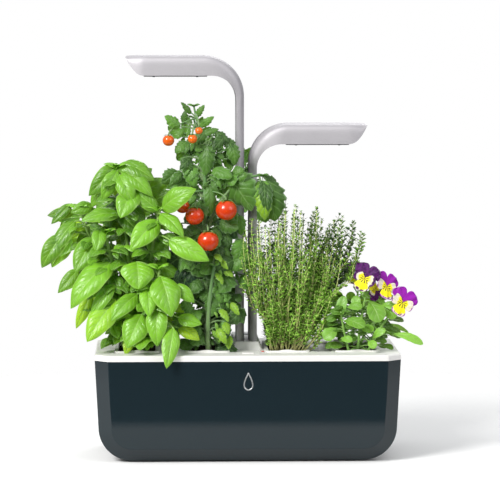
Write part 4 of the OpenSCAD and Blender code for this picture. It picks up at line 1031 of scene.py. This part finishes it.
def thyme_sprig(i):
    """Root, bend and top of a sprig, by the source's formula: rows in front, in the middle and behind."""
    row, a = i % 3, (i // 3 + 0.5) / (THYME_SPRIGS / 3)
    x = (98 * a - 20 if row == 1 else 112 * a - 36) + 6 * (roll(i, 2) - 0.5)
    back_in = max(0, min(1, (x - 8) / 26))
    row_y = (-62, 40 * (roll(i, 3) - 0.5), 60)[row]
    y = row_y * (1 - back_in) + back_in * 52 * (roll(i, 4) - 0.5)
    z = (112 + 44 * sin(pi * (0.16 + 0.68 * a)) ** 0.7 - 4 * a) * (0.84 + 0.16 * roll(i, 6))
    root_y = row_y if row == 1 else copysign(45 + 2 * roll(i, 7), row_y)
    root = (26 * (a - 0.5) + 4 * (roll(i, 5) - 0.5), root_y, 0)
    return np.array(root), np.array([root[0] * 0.6 + x * 0.4, row_y, z * 0.55]), np.array([x, y, z])


def tiny_leaf(patch, p, d, n, length, width, key):
    s = np.cross(d, n)
    m = p + d * length * 0.5
    verts = np.array([p, m + s * width / 2, m + n * 0.22, m - s * width / 2, m - n * 0.12, p + d * length])
    faces = [(0, 1, 2), (0, 2, 3), (5, 2, 1), (5, 3, 2), (0, 4, 1), (0, 3, 4), (5, 1, 4), (5, 4, 3)]
    marks = np.array([(0, 0, key), (1, 0.5, key), (0, 0.5, key), (-1, 0.5, key), (0, 0.5, key), (0, 1, key)])
    patch.add(verts, faces, marks)


def thyme_leaf_material():
    """Dark to light green by the leaf's key, which paints shade on the sprigs behind and light on those in
    front, with paler edges.
    """
    m, t, p, out = new_material("thyme_leaf")
    across, _, key = leaf_marks(t)
    vec = object_coords(t)
    tone = plus(t, key, times(t, noise_tex(t, vec, 200, 2), 0.3))
    body = mix_colour(t, remap(t, tone, 0.15, 1.15), (0.01, 0.06, 0.003), (0.42, 0.78, 0.1))
    edge = remap(t, absolute(t, across), 0.55, 1.0, 0, 0.3)
    paint(t, p, mix_colour(t, edge, body, (0.5, 0.7, 0.25)))
    put(p, "Roughness", 0.5)
    put(p, "Specular IOR Level", 0.35)
    bump(t, p, noise_tex(t, vec, 2500, 2), 0.3, 0.0003)
    return m


def thyme_shoot(leaves, stems, s, r0, bright, start=0.08, size0=1.0, step=3.3):
    """A bent, thin stem with pairs of tiny leaves that turn a quarter round from pair to pair."""
    length = np.linalg.norm(s[1] - s[0]) + np.linalg.norm(s[2] - s[1])
    rings = max(6, int(length / 9))
    ts = np.linspace(0, 1, rings)
    drift = np.cumsum([[chance(0.9), chance(0.7), 0] for _ in ts], axis=0)
    drift -= np.outer(ts, drift[-1]) * 0.6
    pts = np.array([bezier(s, x) for x in ts]) + drift * np.minimum(1, 3 * ts)[:, None]
    pts[:, 0] = np.maximum(pts[:, 0], np.interp(pts[:, 2], FLAP_CLEAR, (-18, -50)))
    pts[:, 0] = np.minimum(pts[:, 0], np.interp(pts[:, 2], (10, 60, 85), (32, 46, 84)))
    tube(stems, pts, np.linspace(r0, 0.24, rings), 5, bright)
    n = int(length / step)
    spin = rand() * 3
    for k in range(n):
        x = (k + 0.6) / n
        if x < start or rand() < 0.08:
            continue
        f = x * (rings - 1)
        a = min(int(f), rings - 2)
        p = pts[a] + (pts[a + 1] - pts[a]) * (f - a)
        d = unit(pts[a + 1] - pts[a])
        for side in (0, 1):
            w = spin + k * pi / 2 + side * pi + chance(0.4)
            ref = unit(np.cross(d, [cos(w), sin(w), 0.05]))
            out = unit(np.cross(ref, d))
            dd = unit(out + d * (0.45 + 0.4 * rand()))
            size = size0 * 6.0 * (0.7 + 0.6 * rand()) * (1.1 - 0.4 * x ** 4)
            # Painted light and shade: the leaves take the sprig's key at random, a little darker near its
            # tip.
            tiny_leaf(leaves, p, dd, unit(np.cross(dd, ref) + d * 0.25), size, size * (0.38 + 0.14 * rand()),
                      bright * (0.35 + 0.95 * rand()) - 0.3 * max(0, x - 0.7))
    for k in range(5):
        w = spin + 2 * pi * k / 5
        dd = unit(np.array([cos(w), sin(w), 1.1]))
        tiny_leaf(leaves, pts[-1] - [0, 0, 0.4], dd, unit(np.cross(dd, [sin(w), -cos(w), 0])), 3.0, 1.2,
                  bright * 0.6)
    return pts


leaves, stems = Patch(), Patch()
for i in range(THYME_SPRIGS):
    root0, bend0, top0 = thyme_sprig(i)
    outer = abs(root0[1]) > 30
    for copy in range(3 if outer else 2):
        j = np.array([chance(8), chance(4), 0]) * min(copy, 1)
        front = 1 if (root0[1] + j[1]) < -20 else 0
        top = top0 + j * [1.6, 1.2, 0] + np.array([0, 0, (chance(16) - 7) * copy])
        if outer:
            top[0] = -49 + (top0[0] + 36) * 1.15 + j[0]
        root = root0 + np.array([chance(9), chance(6), 0])
        root[0] = max(-17, min(root[0], 17))
        root[1] = max(-46, min(root[1], 46))
        lean = (0.72 if outer else 0.3) + 0.33 * rand()
        bend = np.array([root[0] * (1 - lean) + top[0] * lean + chance(4), bend0[1] * 0.94,
                         top[2] * (0.34 + 0.12 * rand())])
        top[0] = max(-48 if abs(top[1]) > 34 else -25, min(top[0], 82))
        # Painted light and shade: sprigs in front get a light key, those behind a dark one.
        bright = (0.95 if front else 0.28) + 0.25 * chance()
        bare = front and copy < 2
        main = thyme_shoot(leaves, stems, (root, bend, top), (0.95 if bare else 0.7) + 0.15 * rand(), bright,
                           0.16 if bare else 0.08, 1.0, 5.6 if bare else 3.3)
        for k in range(5):
            f = 0.12 + 0.66 * rand()
            p = main[int(f * (len(main) - 1))]
            out = np.array([chance(), chance() - 0.3 * front, 0])
            reach = (13 + 15 * rand()) * (1.15 - 0.5 * f)
            tip = p + unit(out) * reach * 0.55 + (top - root) / np.linalg.norm(top - root) * reach
            tip[2] = min(tip[2], top[2] + 3)
            tip[0] = max(-50 if abs(tip[1]) > 34 else -26, min(tip[0], 84))
            tip[1] = max(-67, min(tip[1], 66))
            side_shoot = (p, p + (tip - p) * 0.5 + unit(out) * 2.5, tip)
            thyme_shoot(leaves, stems, side_shoot, 0.4, bright * 0.95, 0.12, 0.9)
for i in range(LOW_SHOOTS):
    a = 2 * pi * rand()
    root = np.array([15 * cos(a), -30 + 16 * sin(a) if i % 3 else 30 + 16 * sin(a), 0])
    out = np.array([cos(a), 0.5 * sin(a) - (0.5 if i % 3 else -0.5), 0])
    tip = root + out * (6 + 12 * rand()) + np.array([0, 0, 20 + 34 * rand()])
    low_shoot = (root, root + (tip - root) * 0.4 + [0, 0, 9], tip)
    thyme_shoot(leaves, stems, low_shoot, 0.5, 0.8 + 0.3 * chance(), 0.3)
# Painted shade: thyme stems with a low key turn dark green.
thyme_wood = stem_material("thyme_stem", (0.2, 0.17, 0.07), (0.78, 0.88, 0.3), 0.5, shade=(0.2, 0.85))
leaves.build("thyme_leaves", thyme_leaf_material(), "pod_thyme", "thyme_leaf", ["thyme_plant"],
             at_pod("thyme"))
stems.build("thyme_stems", thyme_wood, "pod_thyme", "thyme_leaf", (), at_pod("thyme"))

# ---------- viola ----------

viola_green = leaf_material("viola_leaf", (0.008, 0.055, 0.002), (0.24, 0.54, 0.06), (0.32, 0.55, 0.14),
                            (0.28, 0.5, 0.1), 0.38, 4.5, 0.35, 0.05, through=(0.35, 0.6, 0.02),
                            through_share=0.2, depth=0.6)
viola_stalk = stem_material("viola_stem", (0.16, 0.34, 0.06), (0.26, 0.48, 0.1))

VIOLA_STEMS = [[[0, -46, 0], [2, -50, 30], [8, -52, 62], 1.6, 0.9],
               [[-8, -46, 0], [-14, -48, 20], [-18, -50, 46], 1.5, 0.9],
               [[10, -46, 0], [20, -50, 24], [36, -52, 46], 1.5, 0.9]]
VIOLA_ROWS = [
    [1, [-18, -46, 37], [-15, -48, 62], 11], [1, [-11, -50, 50], [4, -58, 52], 10],
    [0, [12, -56, 57], [22, -72, 38], 19], [2, [25, -54, 53], [42, -62, 52], 9],
    [1, [-14, -56, 37], [5, -74, 33], 15], [0, [2, -50, 67], [15, -58, 62], 8],
    [1, [-18, -58, 18], [-7, -66, 17], 8], [0, [11, -60, 16], [17, -70, 10], 9],
    [2, [15, -58, 18], [27, -66, 29], 9], [2, [36, -52, 22], [68, -62, 14], 9],
    [1, [-21, -48, 27], [-36, -54, 18], 14], [2, [29, -52, 50], [38, -62, 40], 13],
    [0, [0, -46, 44], [-2, -44, 62], 10], [0, [5, -50, 30], [14, -62, 26], 12]]
# middle, direction, size, stem, from dark to vivid purple, roll
BLOOMS = [[[6, -66, 82], [-0.2, -1, 0.15], 14.6, 0, 0.0, 24],
          [[30, -63, 73], [0.5, -0.8, 0.25], 14.6, 0, 0.9, 20],
          [[46, -65, 56], [0.2, -1, 0.12], 14.6, 2, 0.85, 30],
          [[4, 62, 76], [0.1, 1, 0.2], 13, 0, 0.4, 0],
          [[18, -59, 69], [0.4, -0.9, -0.1], 10, 0, 0.1, 140]]
# angle, reach, width, lift, kind (0 upper, 1 side, 2 lip) and how far in front of the middle
PETALS = [[38, 1.2, 1.3, -0.05, 0, -1.1], [-38, 1.2, 1.3, -0.03, 0, -0.7], [84, 0.84, 0.95, 0.1, 1, -0.2],
          [-84, 0.84, 0.95, 0.1, 1, -0.2], [180, 0.95, 1.3, 0.16, 2, 0.3]]
INNER_LEAVES = 64


def petal(patch, centre, n, up, side, angle, reach, width, lift, key, kind):
    """One petal from the flower's middle: narrow at its root, round and wavy at its rim."""
    nv, nu = 14, 13
    a = radians(angle)
    d = side * sin(a) + up * cos(a)
    s = side * cos(a) - up * sin(a)
    v = np.linspace(0.03, 1, nv)
    u = np.linspace(-1, 1, nu)
    V, U = np.meshgrid(v, u, indexing="ij")
    half = width / 2 * 1.12 * V ** 0.55 * np.sqrt(np.clip(1 - V ** 5, 0.0, 1))
    length = reach * (V + 0.03 * np.sin(U * 9 + key * 5) * V ** 3)
    wave = 0.06 * width * np.sin(U * 7 + key * 9) * V ** 2
    cup = lift * reach * V ** 1.5 - 0.1 * width * U ** 2 * V + wave
    pts = centre + d * length[..., None] + s * (half * U)[..., None] + n * cup[..., None]
    marks = np.stack([U, V, np.full_like(U, kind + key * 0.5)], axis=-1)
    patch.add(pts.reshape(-1, 3), grid_faces(nv, nu), marks.reshape(-1, 3))


def petal_material():
    """Purple upper petals, and side and lip petals of yellow, cream and a purple rim with dark lines."""
    m, t, p, out = new_material("viola_petal")
    u, v, kind = leaf_marks(t)
    vec = object_coords(t)
    tint = math_node(t, "FRACT", kind)
    streak = noise_tex(t, vec, 420, 3)
    wander = speckle(t, vec, 170, 2, -0.09, 0.09)
    au = absolute(t, u)
    purple = mix_colour(t, remap(t, tint, 0.1, 0.5), (0.028, 0.006, 0.045), (0.36, 0.008, 0.46))
    purple = mix_colour(t, remap(t, streak, 0.3, 0.7, 0, 0.3), purple, (0.34, 0.02, 0.42))
    cream = mix_colour(t, remap(t, streak, 0.3, 0.7), (0.8, 0.75, 0.48), (0.76, 0.7, 0.66))
    is_side = remap(t, kind, 0.95, 1.0)
    is_lip = remap(t, kind, 1.95, 2.0)
    far = plus(t, plus(t, v, wander), times(t, math_node(t, "POWER", au, 2.0), 0.16))
    margin = remap(t, minus(t, far, remap(t, tint, 0.1, 0.5, 0.0, 0.32)), 0.68, 0.76)
    side_col = mix_colour(t, margin, cream, purple)
    side_col = mix_colour(t, remap(t, far, 0.58, 0.46), side_col, (0.95, 0.84, 0.012))
    lip_far = plus(t, far, times(t, math_node(t, "POWER", au, 2.0), 0.12))
    lip_col = mix_colour(t, remap(t, lip_far, 0.86, 0.95), (0.95, 0.84, 0.012), cream)
    spots = absolute(t, math_node(t, "SINE", times(t, u, 4.2)))
    blotch = times(t, remap(t, lip_far, 0.86, 0.92), remap(t, spots, 0.35, 0.6))
    lip_col = mix_colour(t, blotch, lip_col, purple)
    rays = absolute(t, math_node(t, "SINE", times(t, u, 5.5)))
    reach = minus(t, 0.4, times(t, au, 0.12))
    guide = times(t, remap(t, rays, 0.72, 0.95),
                      remap(t, minus(t, v, reach), -0.05, 0.03, 1, 0))
    col = mix_colour(t, is_side, purple, side_col)
    col = mix_colour(t, is_lip, col, lip_col)
    pale_rim = remap(t, v, 0.955, 0.985, 0, 0.6)
    col = mix_colour(t, pale_rim, col, (0.7, 0.6, 0.75))
    dark = times(t, guide, is_side)
    paint(t, p, mix_colour(t, dark, col, (0.02, 0.003, 0.03)))
    put(p, "Roughness", 0.6)
    put(p, "Specular IOR Level", 0.25)
    bump(t, p, streak, 0.2, 0.0004)
    return m


leaves, stems, flowers = Patch(), Patch(), Patch()
for rear in (False, True):
    flip, back, st = half_plant(rear, VIOLA_STEMS)
    for s in st:
        stem(stems, s, 12, 8, knots=4, key=rand())
    for i, (k, b, t, w) in enumerate(VIOLA_ROWS):
        b, t = flip(b), flip(t)
        face = np.array([0.4 * chance(), -0.9 * back, 0.75 + 0.2 * chance()])
        # Painted light: the placed leaves get a mid to high key.
        blade(leaves, b, t, w * 1.05, face, "viola", 0.4 + 0.65 * rand(), 0.1, 0.08, 0.4 * chance())
        petiole(stems, grow_point(st[k], b), b, t, 0.7, rand())
    for i in range(INNER_LEAVES):
        a = 2 * pi * rand()
        r = 5 + 18 * rand()
        b = np.array([6 + r * 1.3 * cos(a), -40 * back + r * 0.5 * sin(a), 8 + 44 * rand()])
        size = 11 + 7 * rand()
        tip = b + np.array([cos(a) * size, -0.4 * size * back, size * 0.25 * chance()])
        tip[2] = max(tip[2], 4)
        # Painted shade: the inner leaves get a low key.
        blade(leaves, b, tip, size * 0.6, [0.5 * chance(), -0.7 * back, 0.9], "viola", 0.3 * rand(), 0.1,
              0.1)
        petiole(stems, grow_point(st[i % 3], b), b, tip, 0.55, rand())
for c, n, r, k, key, tilt in BLOOMS:
    c, n = np.array(c, float), unit(n)
    left = unit(np.cross(n, [0, 0, 1]))
    top = np.cross(left, n)
    tilt = radians(tilt)
    side = left * cos(tilt) + top * sin(tilt)
    up = top * cos(tilt) - left * sin(tilt)
    base = c - n * 0.4
    for angle, reach, width, lift, kind, deep in PETALS:
        petal(flowers, base + n * deep, n, up, side, angle, r * reach, r * width, lift, 0.2 + 0.75 * key,
              kind)
    s = VIOLA_STEMS[k]
    if c[1] > 0:
        s = [behind(s[0]), behind(s[1]), behind(s[2])]
    heel = c - n * 2.8
    neck = heel + np.array([0, 0, 6]) - n * 2
    stalk = [bezier((heel, neck, s[2]), x) for x in np.linspace(0, 1, 10)]
    tube(stems, stalk, np.linspace(0.6, 0.85, 10), 7)
    for j in range(5):
        a = 2 * pi * j / 5
        out = side * cos(a) + up * sin(a)
        blade(leaves, heel, heel + out * 5.5 + n * 1.4, 2.6, -n, "sepal", 0.5, 0.1)
leaves.build("viola_leaves", viola_green, "pod_viola", "viola_leaf", ["viola_plant"], at_pod("viola"))
stems.build("viola_stems", viola_stalk, "pod_viola", "viola_leaf", (), at_pod("viola"))
flowers.build("viola_petals", petal_material(), "pod_viola", "viola_petal", ["viola_flowers"],
              at_pod("viola"))

# ---------- growing medium, wicks and mark ----------

m, t, p, out = new_material("soil")
vec = object_coords(t)
grain = noise_tex(t, vec, 420, 5, 0.7)
crumb = noise_tex(t, vec, 130, 3)
body = mix_colour(t, remap(t, grain, 0.35, 0.65), (0.006, 0.005, 0.004), (0.045, 0.03, 0.02))
paint(t, p, mix_colour(t, remap(t, crumb, 0.62, 0.72, 0, 0.6), body, (0.11, 0.08, 0.05)))
put(p, "Roughness", 0.95)
put(p, "Specular IOR Level", 0.15)
bump(t, p, grain, 1.0, 0.002)
soil = m

SOIL_COLS, SOIL_ROWS, SOIL_IN, SOIL_DOWN, SOIL_TAPER = 36, 84, 0.2, 0.9, 2.2
CRUMBS, CRUMB_RINGS, CRUMB_SIDES = 150, 4, 6
FELT_ROWS, FELT_COLS, FELT_HALF = 20, 9, 0.75


def soil_block(plant, x0):
    """The growing medium: a bumpy top, sides that taper down to the pod's floor, and loose crumbs."""
    patch = Patch()
    lo, hi = (np.array(v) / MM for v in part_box(plant + "_substrate"))
    nx, ny = SOIL_COLS, SOIL_ROWS
    xs = np.linspace(lo[0] + SOIL_IN, hi[0] - SOIL_IN, nx)
    ys = np.linspace(lo[1] + SOIL_IN, hi[1] - SOIL_IN, ny)
    verts = []
    for y in ys:
        for x in xs:
            edge = min(x - xs[0], xs[-1] - x, y - ys[0], ys[-1] - y)
            clod = noise.noise((x * 0.22, y * 0.22, x0)) * 1.1
            h = clod + abs(noise.noise((x * 0.6, y * 0.6, 3.0))) * 1.5
            verts.append((x, y, hi[2] - SOIL_DOWN + h * min(1, edge / 2 + 0.2)))
    top_count = len(verts)
    mid_x, mid_y = (lo[0] + hi[0]) / 2, (lo[1] + hi[1]) / 2
    rim = [k for k in range(nx)] + [r * nx + nx - 1 for r in range(1, ny)]
    rim += [(ny - 1) * nx + k for k in range(nx - 2, -1, -1)] + [r * nx for r in range(ny - 2, 0, -1)]
    for k in rim:
        dx, dy = verts[k][0] - mid_x, verts[k][1] - mid_y
        verts.append((mid_x + dx - copysign(SOIL_TAPER, dx) * min(1, abs(dx) / 8),
                      mid_y + dy - copysign(SOIL_TAPER, dy) * min(1, abs(dy) / 8), lo[2] + 0.1))
    n = len(rim)
    faces = grid_faces(ny, nx)
    faces += [(rim[k], top_count + k, top_count + (k + 1) % n, rim[(k + 1) % n]) for k in range(n)]
    faces.append(tuple(top_count + k for k in range(n)))
    patch.add(np.array(verts), faces, np.zeros((len(verts), 3)))
    ball = [np.array([sin(a) * cos(b), sin(a) * sin(b), 0.7 * cos(a)])
            for a in np.linspace(0.3, pi - 0.3, CRUMB_RINGS)
            for b in np.linspace(0, 2 * pi, CRUMB_SIDES + 1)[:-1]]
    crumb_faces = ring_faces(CRUMB_RINGS - 1, CRUMB_SIDES)
    crumb_faces += [tuple(range(CRUMB_SIDES - 1, -1, -1)), tuple(range(len(ball) - CRUMB_SIDES, len(ball)))]
    for k in range(CRUMBS):
        c = np.array([xs[0] + 2 + rand() * (xs[-1] - xs[0] - 4), ys[0] + 2 + rand() * (ys[-1] - ys[0] - 4),
                      hi[2] + 0.1])
        r = 0.6 + 1.1 * rand() ** 2
        u1, u2 = rand() * 3, rand() * 3
        v = np.array([c + q * r * (1 + 0.3 * sin(5 * q[0] + u1) * cos(4 * q[1] + u2)) for q in ball])
        patch.add(v, crumb_faces, np.zeros((len(ball), 3)))
    patch.build(plant + "_soil", soil, "pod_" + plant, "soil", [plant + "_substrate"])


def felt_strip(plant, x0):
    """The wick: a strip of felt that sways a little, straight where it enters the pod."""
    strip = Patch()
    lo, hi = (np.array(v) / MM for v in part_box(plant + "_wick"))
    n, mid_y, around = FELT_ROWS, (lo[1] + hi[1]) / 2, 2 * FELT_COLS
    verts = []
    for k in range(n + 1):
        z = lo[2] + 0.2 + (hi[2] - lo[2] - 0.4) * k / n
        sway = 0.35 * sin(k * 0.9 + x0) * min(1, (n - k) / 6)
        for half, wave, order in ((-FELT_HALF, 2.1, range(FELT_COLS)),
                                  (FELT_HALF, 1.7, range(FELT_COLS - 1, -1, -1))):
            for i in order:
                x = lo[0] + 0.3 + (hi[0] - lo[0] - 0.6) * i / (FELT_COLS - 1)
                verts.append((x, mid_y + half + sway + 0.1 * sin(i * wave + k), z))
    faces = ring_faces(n, around)
    faces += [tuple(range(around - 1, -1, -1)), tuple(n * around + i for i in range(around))]
    strip.add(np.array(verts), faces, np.zeros((len(verts), 3)))
    strip.build(plant + "_felt", felt, "pod_" + plant, "felt", [plant + "_wick"])


for plant, x0 in POD_X.items():
    soil_block(plant, x0)
    felt_strip(plant, x0)

# A plain water drop, drawn as a thin metal line on the planter's face.
DROP_POINTS, DROP_W, DROP_H, DROP_DOWN = 64, 6.2, 8.8, 21
LINE_HALF, LINE_SUNK, LINE_PROUD = 0.6, 0.05, 0.16
drop = Patch()
turns = [2 * pi * k / DROP_POINTS for k in range(DROP_POINTS)]
outline = [np.array([DROP_W * sin(a) * sin(a / 2) ** 1.35, DROP_H * cos(a)]) for a in turns]
ring = []
for k, q in enumerate(outline):
    along = unit(outline[(k + 1) % DROP_POINTS] - outline[k - 1])
    across = np.array([along[1], -along[0]])
    for off, depth in ((-LINE_HALF, 0), (-LINE_HALF, -LINE_PROUD), (LINE_HALF, -LINE_PROUD), (LINE_HALF, 0)):
        x, h = q + across * off
        z = RIM_Z - DROP_DOWN + h
        ring.append((x, -PLANTER_D / 2 + (RIM_Z - z) * tan(FACE_DRAFT) + LINE_SUNK + depth, z))
faces = [tuple(i % len(ring) for i in f) for f in ring_faces(DROP_POINTS, 4)]
drop.add(np.array(ring), faces, np.zeros((len(ring), 3)))
mark_silver = moulded("mark_silver", (0.62, 0.63, 0.63), 0.3, metallic=0.9, grain=3000)
drop.build("drop_mark", mark_silver, "planter", "lamp_silver")
